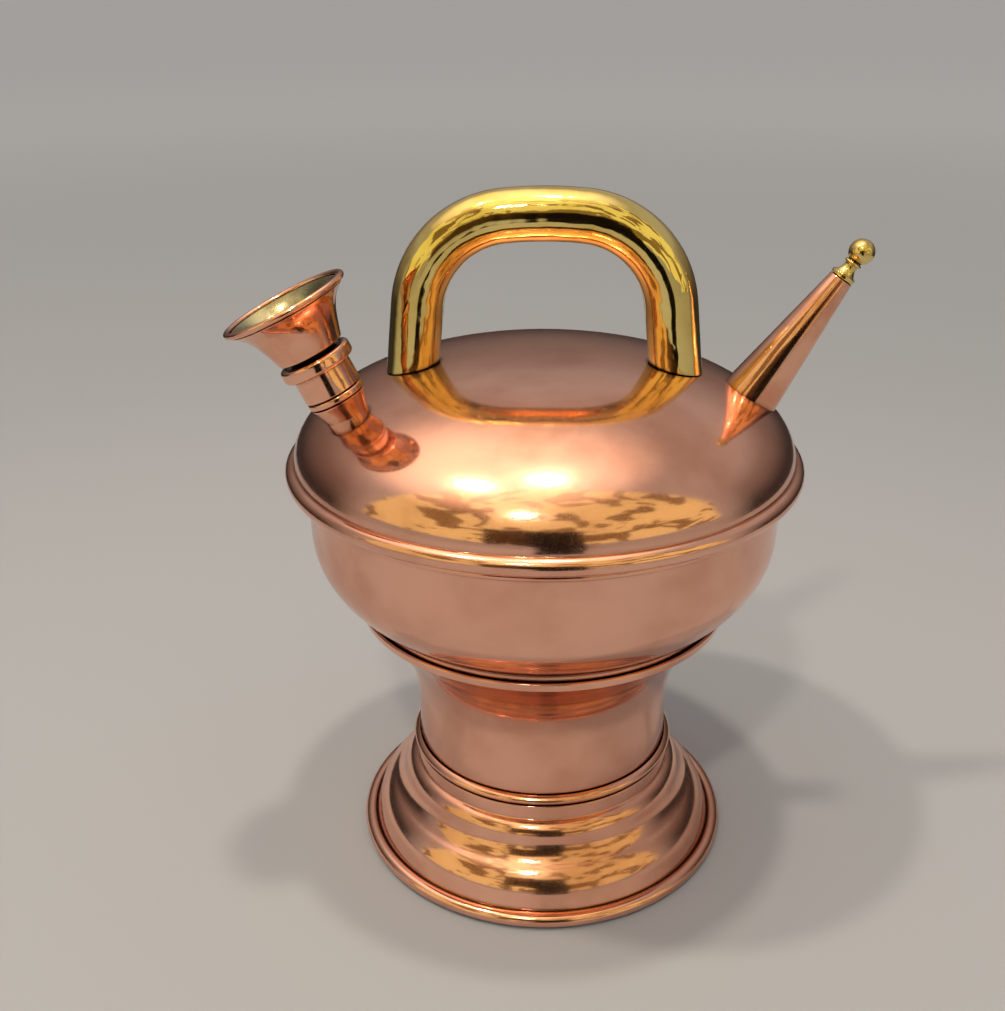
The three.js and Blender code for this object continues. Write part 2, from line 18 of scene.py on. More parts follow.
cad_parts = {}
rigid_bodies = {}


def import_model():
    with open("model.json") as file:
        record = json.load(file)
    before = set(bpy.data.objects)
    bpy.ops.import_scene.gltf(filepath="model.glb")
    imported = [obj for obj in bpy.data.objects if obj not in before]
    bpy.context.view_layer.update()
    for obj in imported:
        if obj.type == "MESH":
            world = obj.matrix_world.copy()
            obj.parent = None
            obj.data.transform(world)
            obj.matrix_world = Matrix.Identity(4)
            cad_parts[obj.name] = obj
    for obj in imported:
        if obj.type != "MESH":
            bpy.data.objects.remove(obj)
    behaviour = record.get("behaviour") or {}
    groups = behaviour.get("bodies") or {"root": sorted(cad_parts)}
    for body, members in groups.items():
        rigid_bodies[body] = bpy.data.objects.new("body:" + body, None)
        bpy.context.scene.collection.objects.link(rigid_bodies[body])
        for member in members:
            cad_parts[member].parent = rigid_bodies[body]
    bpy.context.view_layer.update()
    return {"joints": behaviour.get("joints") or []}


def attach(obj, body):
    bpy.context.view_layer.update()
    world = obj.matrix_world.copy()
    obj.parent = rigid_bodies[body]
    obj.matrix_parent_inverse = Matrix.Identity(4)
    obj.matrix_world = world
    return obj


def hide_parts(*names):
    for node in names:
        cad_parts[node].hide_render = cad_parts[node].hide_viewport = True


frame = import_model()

MM = 0.001
SHEET = 1.1  # wall of the spun copper shells
SEAT_GAP = 0.3  # shadow gap between soldered pieces
RUNNING_GAP = 0.35  # gap between pieces that turn or slide
SPOUT_DISTANCE = 62.4  # from the boiler's axis to where the cone's axis meets the dome
PATCH_EDGE = (0.38, 0.68)  # noise at which a dulled patch begins and is full
CREVICE_SHADE_EDGE = (0.8, 0.42)  # share of open space at which the painted crevice shade begins and is full
SCRATCH_EDGE = (0.52, 0.62)  # noise at which scratches begin and are full
PATCH_WEAR = 0.07  # how much more noise, and so more scratches, a dulled patch has
BODY_SEGMENTS = 224  # facets round the boiler
SMALL_SEGMENTS = 96  # facets round each spout
SHARP = math.radians(20)  # a section's corner that turns further than this is rounded
CREASE = math.radians(32)  # an edge sharper than this isn't shaded smooth
CLEAR = 0.1  # how far a sheet's points keep from the corner of its floor

Point = tuple[float, float]
Outline = list[Point]
Span = tuple[float, float]
Colour = tuple[float, float, float, float]
Triple = tuple[float, float, float]
Mesh = bpy.types.Mesh
NodeTree = bpy.types.NodeTree
Socket = bpy.types.NodeSocket

logging.basicConfig(level=logging.INFO, format="%(message)s")
log = logging.getLogger("kettle")


class Body(str, Enum):
    """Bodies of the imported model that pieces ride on."""

    BOILER = "boiler"
    SOCKET = "mouth_socket"
    TRUMPET = "trumpet"
    STOPPER = "stopper"


class Slot(str, Enum):
    """Material slots of the record."""

    COPPER = "copper"
    BRASS = "brass"
    PALE_BRASS = "pale_brass"
    IRON = "iron_wire"


def srgb(code: str) -> Colour:
    """Turns an sRGB hex code into a linear colour.

    Args:
        code: Six hex digits, such as "B87A5E".

    Returns:
        Linear red, green, blue and an alpha of 1.
    """
    values = [part / 255 for part in bytes.fromhex(code)]
    linear = [v / 12.92 if v <= 0.04045 else ((v + 0.055) / 1.055) ** 2.4 for v in values]
    return (linear[0], linear[1], linear[2], 1.0)


def add_node(tree: NodeTree, kind: str, inputs: dict | None = None, **settings: object) -> bpy.types.Node:
    """Adds a node with its settings, values and links.

    Args:
        tree: The tree that the node goes into.
        kind: The node's type name.
        inputs: Input name or index to a value, or to an output socket that is linked to it.
        settings: Properties of the node itself.

    Returns:
        The new node.
    """
    node = tree.nodes.new(kind)
    for name, value in settings.items():
        setattr(node, name, value)
    for key, value in (inputs or {}).items():
        if isinstance(value, Socket):
            tree.links.new(value, node.inputs[key])
        else:
            node.inputs[key].default_value = value
    return node


def reckon(tree: NodeTree, operation: str, *values: Socket | float) -> Socket:
    """Result of a math node."""
    return add_node(tree, "ShaderNodeMath", dict(enumerate(values)), operation=operation).outputs[0]


def reckon_way(tree: NodeTree, operation: str, *values: Socket | Triple) -> bpy.types.Node:
    """A vector math node."""
    return add_node(tree, "ShaderNodeVectorMath", dict(enumerate(values)), operation=operation)


def soft_step(tree: NodeTree, value: Socket, start: float, end: float, to: Span = (0.0, 1.0)) -> Socket:
    """Soft step from one value to another.

    Args:
        tree: The tree that the step goes into.
        value: What the step follows.
        start: Where the step begins.
        end: Where it ends, which may be below its start.
        to: What it gives before and after.

    Returns:
        The stepped value.
    """
    inputs = {"Value": value, "From Min": start, "From Max": end, "To Min": to[0], "To Max": to[1]}
    return add_node(tree, "ShaderNodeMapRange", inputs, interpolation_type="SMOOTHSTEP").outputs["Result"]


def mixed(tree: NodeTree, share: Socket, first: Socket | Colour, second: Socket | Colour) -> Socket:
    """Mixes two colours by a share."""
    return add_node(tree, "ShaderNodeMix", {0: share, 6: first, 7: second}, data_type="RGBA").outputs[2]


def bare_material(name: str) -> bpy.types.Material:
    """Makes a material with an empty tree.

    Args:
        name: Name of the material.

    Returns:
        The material.
    """
    material = bpy.data.materials.new(name)
    material.use_nodes = True
    material.node_tree.nodes.clear()
    return material


def put_up(name: str, data: bpy.types.ID) -> bpy.types.Object:
    """Makes an object in the scene.

    Args:
        name: Name of the object.
        data: Its mesh, lamp or camera.

    Returns:
        The object.
    """
    thing = bpy.data.objects.new(name, data)
    bpy.context.scene.collection.objects.link(thing)
    return thing


def shares(steps: int) -> list[float]:
    """Evenly spaced values from 0 to 1."""
    return [i / steps for i in range(steps + 1)]


def arc(centre: Point, size: float, start: float, end: float, steps: int) -> Outline:
    """Points on an arc.

    Args:
        centre: Radius and height of the arc's centre.
        size: The arc's own radius.
        start: First angle in degrees.
        end: Last angle in degrees.
        steps: Number of stretches between the points.

    Returns:
        The points from start to end.
    """
    angles = [math.radians(start + (end - start) * t) for t in shares(steps)]
    return [(centre[0] + size * math.cos(a), centre[1] + size * math.sin(a)) for a in angles]


def bow(start: Point, end: Point, bulge: float, steps: int) -> Outline:
    """Points from start to end that stand proud of the chord on its right-hand side.

    Args:
        start: First point.
        end: Last point.
        bulge: Height of the bow; a negative one hollows it.
        steps: Number of stretches between the points.

    Returns:
        The points from start to end.
    """
    run = Vector(end) - Vector(start)
    side = Vector((run.y, -run.x)).normalized()
    return [tuple(Vector(start) + run * t + side * (4 * bulge * t * (1 - t))) for t in shares(steps)]


def offset(line: Outline, distance: float) -> Outline:
    """Moves a line to its left with mitred corners.

    Args:
        line: The points of the line.
        distance: How far it moves.

    Returns:
        As many points, moved.
    """
    runs = [(Vector(b) - Vector(a)).normalized() for a, b in zip(line, line[1:])]
    normals = [Vector((-run.y, run.x)) for run in runs]
    moved = []
    for i, place in enumerate(line):
        after = normals[min(i, len(normals) - 1)]
        mitre = (normals[max(i - 1, 0)] + after).normalized()
        moved.append(tuple(Vector(place) + mitre * (distance / mitre.dot(after))))
    return moved


def softened(section: Outline, radius: float, closed: bool = True) -> Outline:
    """Rounds the sharp corners of a section, as worn and polished metal has them.

    Args:
        section: Points round the section.
        radius: Radius of the rounding.
        closed: True if the section closes on itself; otherwise its ends lie on the axis.

    Returns:
        The section with each sharp corner replaced by a short curve.
    """
    longest = 0.45  # share of an edge that one rounding may take
    result: Outline = []
    for i, place in enumerate(section):
        here = Vector(place)
        back = Vector(section[i - 1]) - here
        ahead = Vector(section[(i + 1) % len(section)]) - here
        turn = math.pi - back.angle(ahead)
        at_end = not closed and i in (0, len(section) - 1)
        if at_end or turn < SHARP:
            result.append(place)
            continue
        reach = min(radius * math.tan(turn / 2), back.length * longest, ahead.length * longest)
        first = here + back.normalized() * reach
        last = here + ahead.normalized() * reach
        for t in shares(4):
            result.append(tuple(first * (1 - t) ** 2 + here * (2 * t * (1 - t)) + last * t**2))
    return result


def sheet_section(outside: Outline) -> Outline:
    """Closed section of a spun sheet, whose outside is walked with the inside on its left."""
    return outside + offset(outside, SHEET)[::-1]


def cup_section(hole: float, wall: Outline, sheet: float) -> Outline:
    """Closed section of a cup, which is a flat floor with a hole and a wall from its edge.

    Args:
        hole: Radius of the hole in the floor.
        wall: Points of the wall's outside, from the floor's underside up.
        sheet: Thickness of the sheet.

    Returns:
        The outside followed by the inside walked back.
    """
    ceiling = wall[0][1] + sheet
    inside = [point for point in offset(wall, sheet) if point[1] > ceiling + CLEAR]
    corner = (inside[0][0] - CLEAR / 2, ceiling)
    return [(hole, wall[0][1]), *wall, *inside[::-1], corner, (hole, ceiling)]


def ring_section(inner: float, outer: float, base: float, height: float, rounding: float) -> Outline:
    """Closed section of a ring with rounded outer edges.

    Args:
        inner: Radius of its bore.
        outer: Radius of its outside.
        base: Height of its underside.
        height: Its own height.
        rounding: Radius of its outer edges.

    Returns:
        Points round the section.
    """
    low = arc((outer - rounding, base + rounding), rounding, -90, 0, 8)
    high = arc((outer - rounding, base + height - rounding), rounding, 0, 90, 8)
    return [(inner, base), *low, *high, (inner, base + height)]


def wire_section(centre: Point, radius: float) -> Outline:
    """Closed round section of a wire or a rolled lip."""
    return arc(centre, radius, 0, 360, 24)[:-1]


class Tree:
    """Base of the Geometry Nodes trees: makes the group and turns a polyline into a mesh."""

    label = "tree"
    fields: dict[str, tuple[str, float]] = {}

    def __init__(self) -> None:
        """Makes the group with its named inputs and fills it."""
        self.group = bpy.data.node_groups.new(self.label, "GeometryNodeTree")
        face = self.group.interface
        face.new_socket("Geometry", in_out="INPUT", socket_type="NodeSocketGeometry")
        self.ids: dict[str, str] = {}
        for name, (kind, value) in self.fields.items():
            socket = face.new_socket(name, in_out="INPUT", socket_type=kind)
            socket.default_value = value
            self.ids[name] = socket.identifier
        material = face.new_socket("Material", in_out="INPUT", socket_type="NodeSocketMaterial")
        self.ids["Material"] = material.identifier
        face.new_socket("Geometry", in_out="OUTPUT", socket_type="NodeSocketGeometry")
        source = add_node(self.group, "NodeGroupInput")
        shape = self.fill(source.outputs)
        real = add_node(self.group, "GeometryNodeRealizeInstances", {"Geometry": shape})
        inputs = {"Geometry": real.outputs[0], "Material": source.outputs["Material"]}
        dressed = add_node(self.group, "GeometryNodeSetMaterial", inputs)
        add_node(self.group, "NodeGroupOutput", {"Geometry": dressed.outputs[0]})

    def fill(self, source: bpy.types.NodeOutputs) -> Socket:
        """Adds the tree's own nodes and returns the socket that carries the shape."""
        raise NotImplementedError

    def sweep(self, route: Socket, profile: Socket) -> Socket:
        """Sweeps a profile along a route."""
        inputs = {"Curve": route, "Profile Curve": profile}
        return add_node(self.group, "GeometryNodeCurveToMesh", inputs).outputs["Mesh"]

    def circle(self, resolution: Socket, radius: Socket) -> Socket:
        """A circle about the Z axis."""
        inputs = {"Resolution": resolution, "Radius": radius}
        return add_node(self.group, "GeometryNodeCurvePrimitiveCircle", inputs).outputs["Curve"]

    def curve(self, mesh: Socket) -> Socket:
        """The polyline as a curve."""
        return add_node(self.group, "GeometryNodeMeshToCurve", {"Mesh": mesh}).outputs["Curve"]

    def make(self, name: str, line: list[Vector], closed: bool, values: dict) -> Mesh:
        """Runs the tree on a polyline.

        Args:
            name: Name of the new mesh.
            line: Points of the polyline in the tree's own frame, in metres.
            closed: True if the last point joins the first.
            values: Input name to value.

        Returns:
            A plain mesh with nothing live left on it.
        """
        edges = [(i, i + 1) for i in range(len(line) - 1)]
        if closed:
            edges.append((len(line) - 1, 0))
        polyline = bpy.data.meshes.new(f"{name}_line")
        polyline.from_pydata(line, edges, [])
        holder = put_up(f"{name}_holder", polyline)
        modifier = holder.modifiers.new(self.label, "NODES")
        modifier.node_group = self.group
        for key, value in values.items():
            modifier[self.ids[key]] = value
        graph = bpy.context.evaluated_depsgraph_get()
        mesh = bpy.data.meshes.new_from_object(holder.evaluated_get(graph))
        mesh.name = name
        holder.modifiers.remove(modifier)
        bpy.data.objects.remove(holder)
        return mesh


class LatheTree(Tree):
    """Turns a section about the Z axis, as a spinner's lathe does.

    The section's X is the distance beyond the spindle radius and its Y runs down the axis.
    """

    label = "turned_on_lathe"
    fields = {
        "Segments": ("NodeSocketInt", SMALL_SEGMENTS),
        "Spindle Radius": ("NodeSocketFloat", 0.01),
        "Weld Distance": ("NodeSocketFloat", 0.000002),
    }

    def fill(self, source: bpy.types.NodeOutputs) -> Socket:
        """Sweeps the section round a circle and welds what meets on the axis.

        Args:
            source: Sockets of the group's inputs.

        Returns:
            The socket that carries the shape.
        """
        route = self.circle(source["Segments"], source["Spindle Radius"])
        swept = self.sweep(route, self.curve(source["Geometry"]))
        inputs = {"Geometry": swept, "Distance": source["Weld Distance"]}
        return add_node(self.group, "GeometryNodeMergeByDistance", inputs).outputs["Geometry"]


class TubeTree(Tree):
    """Runs a round tube along a bent line, as a pipe bender does."""

    label = "bent_tube"
    fields = {"Radius": ("NodeSocketFloat", 0.005), "Sides": ("NodeSocketInt", 48)}

    def fill(self, source: bpy.types.NodeOutputs) -> Socket:
        """Sweeps a circle along the line and leaves both ends open."""
        return self.sweep(self.curve(source["Geometry"]), self.circle(source["Sides"], source["Radius"]))


@dataclass(frozen=True)
class Marks:
    """Relief that working leaves on a metal."""

    wide: float  # millimetres from one mark to the next
    deep: float  # millimetres


@dataclass(frozen=True)
class MetalFinish:
    """A bare metal with the marks of how it was worked, and painted shade in its crevices."""

    name: str
    slot: Slot
    clean: str  # sRGB hex of the freshly polished metal
    dulled: str  # sRGB hex where it has dulled
    patch: float  # width of a dulled patch in millimetres
    grain: float  # width of a patch of scratches in millimetres
    roughness: float  # of the mirror between the scratches
    haze: float  # roughness of the fine scratches, which spread a glow round each highlight
    ripples: Marks  # left by planishing
    rings: Marks  # left by spinning
    crevice_shade: str = "2A1A12"  # sRGB hex of the painted shade that darkens crevices
    crevice: float = 2.2  # how near, in millimetres, another face must be for the painted crevice shade to fall

    def build(self, axis: Matrix | None) -> bpy.types.Material:
        """Makes the material.

        Args:
            axis: Frame whose Z is the axis that the piece was turned about; none for the boiler's.

        Returns:
            The material, read on Object coordinates.
        """
        material = bare_material(self.name)
        tree = material.node_tree
        place = (axis or Matrix.Identity(4)).inverted()
        inputs = {
            "Vector": add_node(tree, "ShaderNodeTexCoord").outputs["Object"],
            "Location": place.to_translation(),
            "Rotation": place.to_euler(),
        }
        spot = add_node(tree, "ShaderNodeMapping", inputs).outputs["Vector"]
        patches = soft_step(tree, self._noise(tree, spot, self.patch, 4.0), *PATCH_EDGE)
        metal = mixed(tree, patches, srgb(self.clean), srgb(self.dulled))
        # Painted shade: where other faces are near, ambient occlusion darkens the metal towards the crevice
        # shade colour.
        reach = {"Distance": self.crevice * MM}
        openness = add_node(tree, "ShaderNodeAmbientOcclusion", reach, samples=6).outputs["AO"]
        colour = mixed(tree, soft_step(tree, openness, *CREVICE_SHADE_EDGE), metal, srgb(self.crevice_shade))
        grain = self._noise(tree, spot, self.grain, 2.0)
        worn = reckon(tree, "MULTIPLY_ADD", patches, PATCH_WEAR, grain)
        scratched = soft_step(tree, worn, *SCRATCH_EDGE, to=(self.roughness, self.haze))
        rippled = self._relief(tree, self._noise(tree, spot, self.ripples.wide, 1.0), self.ripples)
        inputs = {
            "Base Color": colour,
            "Metallic": 1.0,
            "Roughness": scratched,
            "Normal": self._relief(tree, self._turning(tree, spot), self.rings, rippled),
        }
        shader = add_node(tree, "ShaderNodeBsdfPrincipled", inputs)
        add_node(tree, "ShaderNodeOutputMaterial", {"Surface": shader.outputs["BSDF"]})
        return material

    def _noise(self, tree: NodeTree, vector: Socket, wide: float, detail: float) -> Socket:
        """Noise whose features are that many millimetres wide."""
        inputs = {"Vector": vector, "Scale": 1 / (wide * MM), "Detail": detail, "Roughness": 0.55}
        return add_node(tree, "ShaderNodeTexNoise", inputs).outputs["Fac"]

    def _turning(self, tree: NodeTree, vector: Socket) -> Socket:
        """Noise that is the same all round the axis, as a spinning tool leaves it.

        Args:
            tree: The material's tree.
            vector: Place in the frame whose Z is the axis.

        Returns:
            Height of the rings.
        """
        parts = add_node(tree, "ShaderNodeSeparateXYZ", {"Vector": vector}).outputs
        flat = add_node(tree, "ShaderNodeCombineXYZ", {"X": parts["X"], "Y": parts["Y"]}).outputs[0]
        radius = reckon_way(tree, "LENGTH", flat).outputs["Value"]
        inputs = {
            "Vector": add_node(tree, "ShaderNodeCombineXYZ", {"X": radius, "Z": parts["Z"]}).outputs[0],
            "Scale": 1 / (self.rings.wide * MM),
            "Detail": 2.0,
            "Roughness": 0.6,
        }
        return add_node(tree, "ShaderNodeTexNoise", inputs, noise_dimensions="2D").outputs["Fac"]

    def _relief(self, tree: NodeTree, height: Socket, marks: Marks, below: Socket | None = None) -> Socket:
        """Bends the surface's normal by a height.

        Args:
            tree: The material's tree.
            height: Height of the relief, from 0 to 1.
            marks: How deep it is.
            below: Normal that it lies on, if it isn't the mesh's own.

        Returns:
            The bent normal.
        """
        inputs = {"Height": height, "Strength": 1.0, "Distance": marks.deep * MM}
        if below is not None:
            inputs["Normal"] = below
        return add_node(tree, "ShaderNodeBump", inputs).outputs["Normal"]


# Spun and hand-polished copper: a rose mirror that dulls to brown in soft patches, with the
# faint rings of the spinning tool, so that highlights drag a little round the body.
POLISHED_COPPER = MetalFinish(
    name="polished_spun_copper",
    slot=Slot.COPPER,
    clean="F3B89E",
    dulled="D99C82",
    patch=38,
    grain=0.2,
    roughness=0.08,
    haze=0.26,
    ripples=Marks(26, 0.02),
    rings=Marks(1.6, 0.0012),
)

# Copper of the small spun parts: brighter, because they are handled and rubbed more.
BRIGHT_COPPER = MetalFinish(
    name="bright_drawn_copper",
    slot=Slot.COPPER,
    clean="F2B698",
    dulled="DE9A7A",
    patch=14,
    grain=0.2,
    roughness=0.06,
    haze=0.2,
    ripples=Marks(9, 0.012),
    rings=Marks(0.9, 0.0008),
)

# Bent brass tube, planished and buffed by hand: a deep yellow mirror whose reflections waver.
BUFFED_BRASS = MetalFinish(
    name="buffed_brass_tube",
    slot=Slot.BRASS,
    clean="F0D788",
    dulled="DDBE68",
    patch=22,
    grain=0.25,
    roughness=0.04,
    haze=0.12,
    ripples=Marks(7.5, 0.26),
    rings=Marks(2.2, 0.001),
)

# Turned brass of the stopper: tight tool rings and a warm yellow shine.
TURNED_BRASS = MetalFinish(
    name="turned_brass",
    slot=Slot.BRASS,
    clean="E9CF86",
    dulled="C9AA5C",
    patch=5,
    grain=0.25,
    roughness=0.09,
    haze=0.25,
    ripples=Marks(4, 0.006),
    rings=Marks(0.5, 0.002),
)

# Wiped tin over brass inside the trumpet: pale, greenish grey and softer than the outside.
TINNED_BRASS = MetalFinish(
    name="tinned_brass_lining",
    slot=Slot.PALE_BRASS,
    clean="A8A27E",
    dulled="7A7050",
    patch=9,
    grain=0.25,
    roughness=0.16,
    haze=0.36,
    ripples=Marks(6, 0.02),
    rings=Marks(0.7, 0.003),
)

# Brass of the spigot, painted dark as painted shade for the shadowed recess that it sits in.
SPIGOT_SHADE_BRASS = MetalFinish(
    name="spigot_brass_painted_shade",
    slot=Slot.BRASS,
    clean="5E4A32",
    dulled="2E241A",
    patch=4,
    grain=0.3,
    roughness=0.3,
    haze=0.55,
    ripples=Marks(3, 0.01),
    rings=Marks(0.6, 0.002),
)

# Drawn iron wire, black from the fire, hidden inside the rolled rims.
BLACK_IRON = MetalFinish(
    name="black_iron_wire",
    slot=Slot.IRON,
    clean="6A645F",
    dulled="3C3835",
    patch=6,
    grain=0.5,
    roughness=0.45,
    haze=0.75,
    ripples=Marks(4, 0.02),
    rings=Marks(0.8, 0.004),
)


class Workshop:
    """Holds the trees and materials, and turns sections into dressed pieces of the kettle."""

    def __init__(self) -> None:
        """Makes the trees once."""
        self.lathe = LatheTree()
        self.bender = TubeTree()
        self.materials: dict[tuple, bpy.types.Material] = {}
        self.made: list[str] = []

    def dress(self, finish: MetalFinish, axis: Matrix | None) -> bpy.types.Material:
        """Material of a finish for pieces turned about an axis, made once.

        Args:
            finish: What the pieces are dressed in.
            axis: Frame of a spout's own axis; none for the boiler's.

        Returns:
            The material.
        """
        key = (finish.name, None if axis is None else tuple(map(tuple, axis)))
        if key not in self.materials:
            self.materials[key] = finish.build(axis)
        return self.materials[key]

    def turn(
        self,
        name: str,
        section: Outline,
        finish: MetalFinish,
        axis: Matrix | None = None,
        solid: bool = False,
    ) -> Mesh:
        """Turns a section on the lathe.

        Args:
            name: Name of the mesh.
            section: Radius and height points in millimetres.
            finish: What it is dressed in.
            axis: Frame of a spout's own axis; none for the boiler's.
            solid: True if the section starts and ends on the axis.

        Returns:
            The mesh in its place.
        """
        spindle = max(r for r, _ in section) / 2
        line = [Vector(((r - spindle) * MM, -z * MM, 0)) for r, z in section]
        values = {
            "Segments": BODY_SEGMENTS if axis is None else SMALL_SEGMENTS,
            "Spindle Radius": spindle * MM,
            "Material": self.dress(finish, axis),
        }
        mesh = self.lathe.make(name, line, not solid, values)
        if axis is not None:
            mesh.transform(axis)
        return mesh

    def finish_piece(self, mesh: Mesh, node: str, body: Body = Body.BOILER) -> None:
        """Smooths a mesh, makes it an object and ties it to the model.

        Args:
            mesh: The piece in its place.
            node: CAD node that it stands for.
            body: What it rides on.
        """
        work = bmesh.new()
        work.from_mesh(mesh)
        bmesh.ops.dissolve_degenerate(work, edges=work.edges, dist=1e-7)
        if work.calc_volume(signed=True) < 0:
            bmesh.ops.reverse_faces(work, faces=work.faces)
        open_edges = sum(1 for edge in work.edges if not edge.is_manifold)
        work.to_mesh(mesh)
        work.free()
        mesh.polygons.foreach_set("use_smooth", [True] * len(mesh.polygons))
        mesh.set_sharp_from_angle(angle=CREASE)
        piece = put_up(mesh.name, mesh)
        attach(piece, body.value)
        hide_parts(node)
        self.made.append(piece.name)
        log.info("%s: %d faces, %d open edges", piece.name, len(mesh.polygons), open_edges)

    def add_turned(
        self,
        name: str,
        node: str,
        section: Outline,
        finish: MetalFinish,
        body: Body = Body.BOILER,
        axis: Matrix | None = None,
        solid: bool = False,
    ) -> None:
        """Turns a section and finishes it as a piece.

        Args:
            name: Name of the piece.
            node: CAD node that it stands for.
            section: Radius and height points in millimetres.
            finish: What it is dressed in.
            body: What it rides on.
            axis: Frame of a spout's own axis; none for the boiler's.
            solid: True if the section starts and ends on the axis.
        """
        mesh = self.turn(name, section, finish, axis, solid)
        self.finish_piece(mesh, node, body)


def cut_away(mesh: Mesh, cutters: list[Mesh]) -> Mesh:
    """Cuts closed meshes out of a closed mesh.

    Args:
        mesh: What is cut.
        cutters: What is taken out of it, removed afterwards.

    Returns:
        The cut mesh.
    """
    target = put_up("cut_target", mesh)
    tools = [put_up("cutter", cutter) for cutter in cutters]
    for tool in tools:
        modifier = target.modifiers.new("cut", "BOOLEAN")
        modifier.operation = "DIFFERENCE"
        modifier.solver = "EXACT"
        modifier.object = tool
    graph = bpy.context.evaluated_depsgraph_get()
    result = bpy.data.meshes.new_from_object(target.evaluated_get(graph))
    for thing in (target, *tools):
        bpy.data.objects.remove(thing)
    return result


@dataclass
class Foot:
    """Ogee foot with a wired rim, and the plate that closes the boiler underneath."""

    radius: float = 61.6
    bead: float = 2.3
    curl: Span = (-150.0, 140.0)
    band_top: Point = (56.1, 8.3)
    swell_top: Point = (51.1, 15.3)
    hollow_top: Point = (46.6, 21.2)
    riser_top: Point = (46.3, 23.0)
    bulge: float = 0.7
    collar_base: float = 27.1
    collar_top: float = 32.0
    collar_radius: float = 42.5
    plate: float = 1.2

    @property
    def bead_centre(self) -> Point:
        """Centre of the wire in the rim."""
        return (self.radius - self.bead, self.bead)

    def outline(self) -> Outline:
        """Outside of the foot.

        Returns:
            Points from the curled edge of the rim up to the collar.
        """
        return [
            *arc(self.bead_centre, self.bead, *self.curl, 46),
            *bow(self.band_top, self.swell_top, self.bulge, 14),
            *bow(self.swell_top, self.hollow_top, -self.bulge, 14)[1:],
            *bow(self.riser_top, (self.collar_radius, self.collar_base), self.bulge, 10),
            (self.collar_radius, self.collar_top),
        ]

    def build(self, shop: Workshop) -> None:
        """Makes the foot, its wire and the plate.

        Args:
            shop: What turns the pieces.
        """
        section = softened(sheet_section(self.outline()), 0.45)
        shop.add_turned("foot_sheet", "foot_shell", section, POLISHED_COPPER)
        wire = wire_section(self.bead_centre, self.bead - SHEET - SEAT_GAP)
        shop.add_turned("foot_wire", "foot_rim_wire", wire, BLACK_IRON)
        edge = self.radius - 2 * self.bead - SEAT_GAP
        plate = softened([(0, 0), (edge, 0), (edge, self.plate), (0, self.plate)], 0.3, closed=False)
        shop.add_turned("base_disc", "base_plate", plate, POLISHED_COPPER, solid=True)


@dataclass
class Column:
    """Waisted column between the foot and the bowl, with its half-round moulding."""

    radius: float = 41.1
    base: float = 26.5
    moulding_base: float = 32.3
    moulding_height: float = 3.4
    moulding_proud: float = 2.2
    flare_base: float = 45.0
    flare_height: float = 38.3
    flare_power: float = 2.7
    waist_radius: float = 57.0
    lip_out: float = 1.8
    lip_height: float = 3.5
    lip_bend: float = 0.3  # share of the lip's rise and reach at which it turns up

    def outline(self) -> Outline:
        """Outside of the column.

        Returns:
            Points from its lap in the collar to the top of its lip.
        """
        spread = self.waist_radius - self.radius
        line = [(self.radius, self.base)]
        for t in shares(48):
            radius = self.radius + spread * t**self.flare_power
            line.append((radius, self.flare_base + self.flare_height * t))
        top = self.flare_base + self.flare_height
        lip = self.waist_radius + self.lip_out
        line.append((lip - self.lip_out * self.lip_bend, top + self.lip_height * self.lip_bend))
        line.append((lip, top + self.lip_height))
        return line

    def build(self, shop: Workshop) -> None:
        """Makes the column and the moulding.

        Args:
            shop: What turns the pieces.
        """
        section = softened(sheet_section(self.outline()), 0.45)
        shop.add_turned("column_sheet", "column_shell", section, POLISHED_COPPER)
        inner = self.radius + SEAT_GAP
        low = self.moulding_base
        high = low + self.moulding_height
        bulge = self.moulding_proud - 2 * SEAT_GAP
        face = bow((inner + SEAT_GAP, low), (inner + SEAT_GAP, high), bulge, 20)
        section = softened([(inner, low), *face, (inner, high)], 0.2)
        shop.add_turned("column_moulding", "column_bead", section, POLISHED_COPPER)


@dataclass
class Bowl:
    """Lower half of the boiler, with the ridge that carries the dome's rim."""

    radius: float = 72.2
    base_radius: float = 57.4
    tail: float = 85.575
    base: float = 88.6
    curve_height: float = 26.4
    power: float = 2.35
    ridge_base: float = 126.5
    ridge_height: float = 3.3
    ridge_out: float = 2.5
    crest: float = 1.0  # radius of the ridge's edge
    crest_drop: float = 1.3  # centre of that edge below the ridge's top
    crest_flat: float = 0.6  # where the ridge's top turns flat, in from its edge
    upstand_radius: float = 73.0
    upstand_height: float = 8.0

    def outline(self) -> Outline:
        """Outside of the bowl.

        Returns:
            Points from its tail up to the straight wall below its ridge.
        """
        spread = self.radius - self.base_radius
        line = [(self.base_radius, self.tail)]
        for t in shares(48):
            line.append((self.radius - spread * (1 - t) ** self.power, self.base + self.curve_height * t))
        return line

    def build(self, shop: Workshop) -> None:
        """Makes the bowl.

        Args:
            shop: What turns the piece.
        """
        below = self.outline()
        top = self.ridge_base + self.ridge_height
        out = self.radius + self.ridge_out
        section = [
            *below,
            (self.radius, self.ridge_base),
            *arc((out - self.crest, top - self.crest_drop), self.crest, -60, 55, 10),
            (out - self.crest_flat, top),
            (self.upstand_radius, top),
            (self.upstand_radius, top + self.upstand_height),
            (self.upstand_radius - SHEET, top + self.upstand_height),
            (self.upstand_radius - SHEET, top),
            (self.radius - SHEET, self.ridge_base),
            *offset(below, SHEET)[::-1],
        ]
        shop.add_turned("bowl_sheet", "bowl_shell", softened(section, 0.35), POLISHED_COPPER)


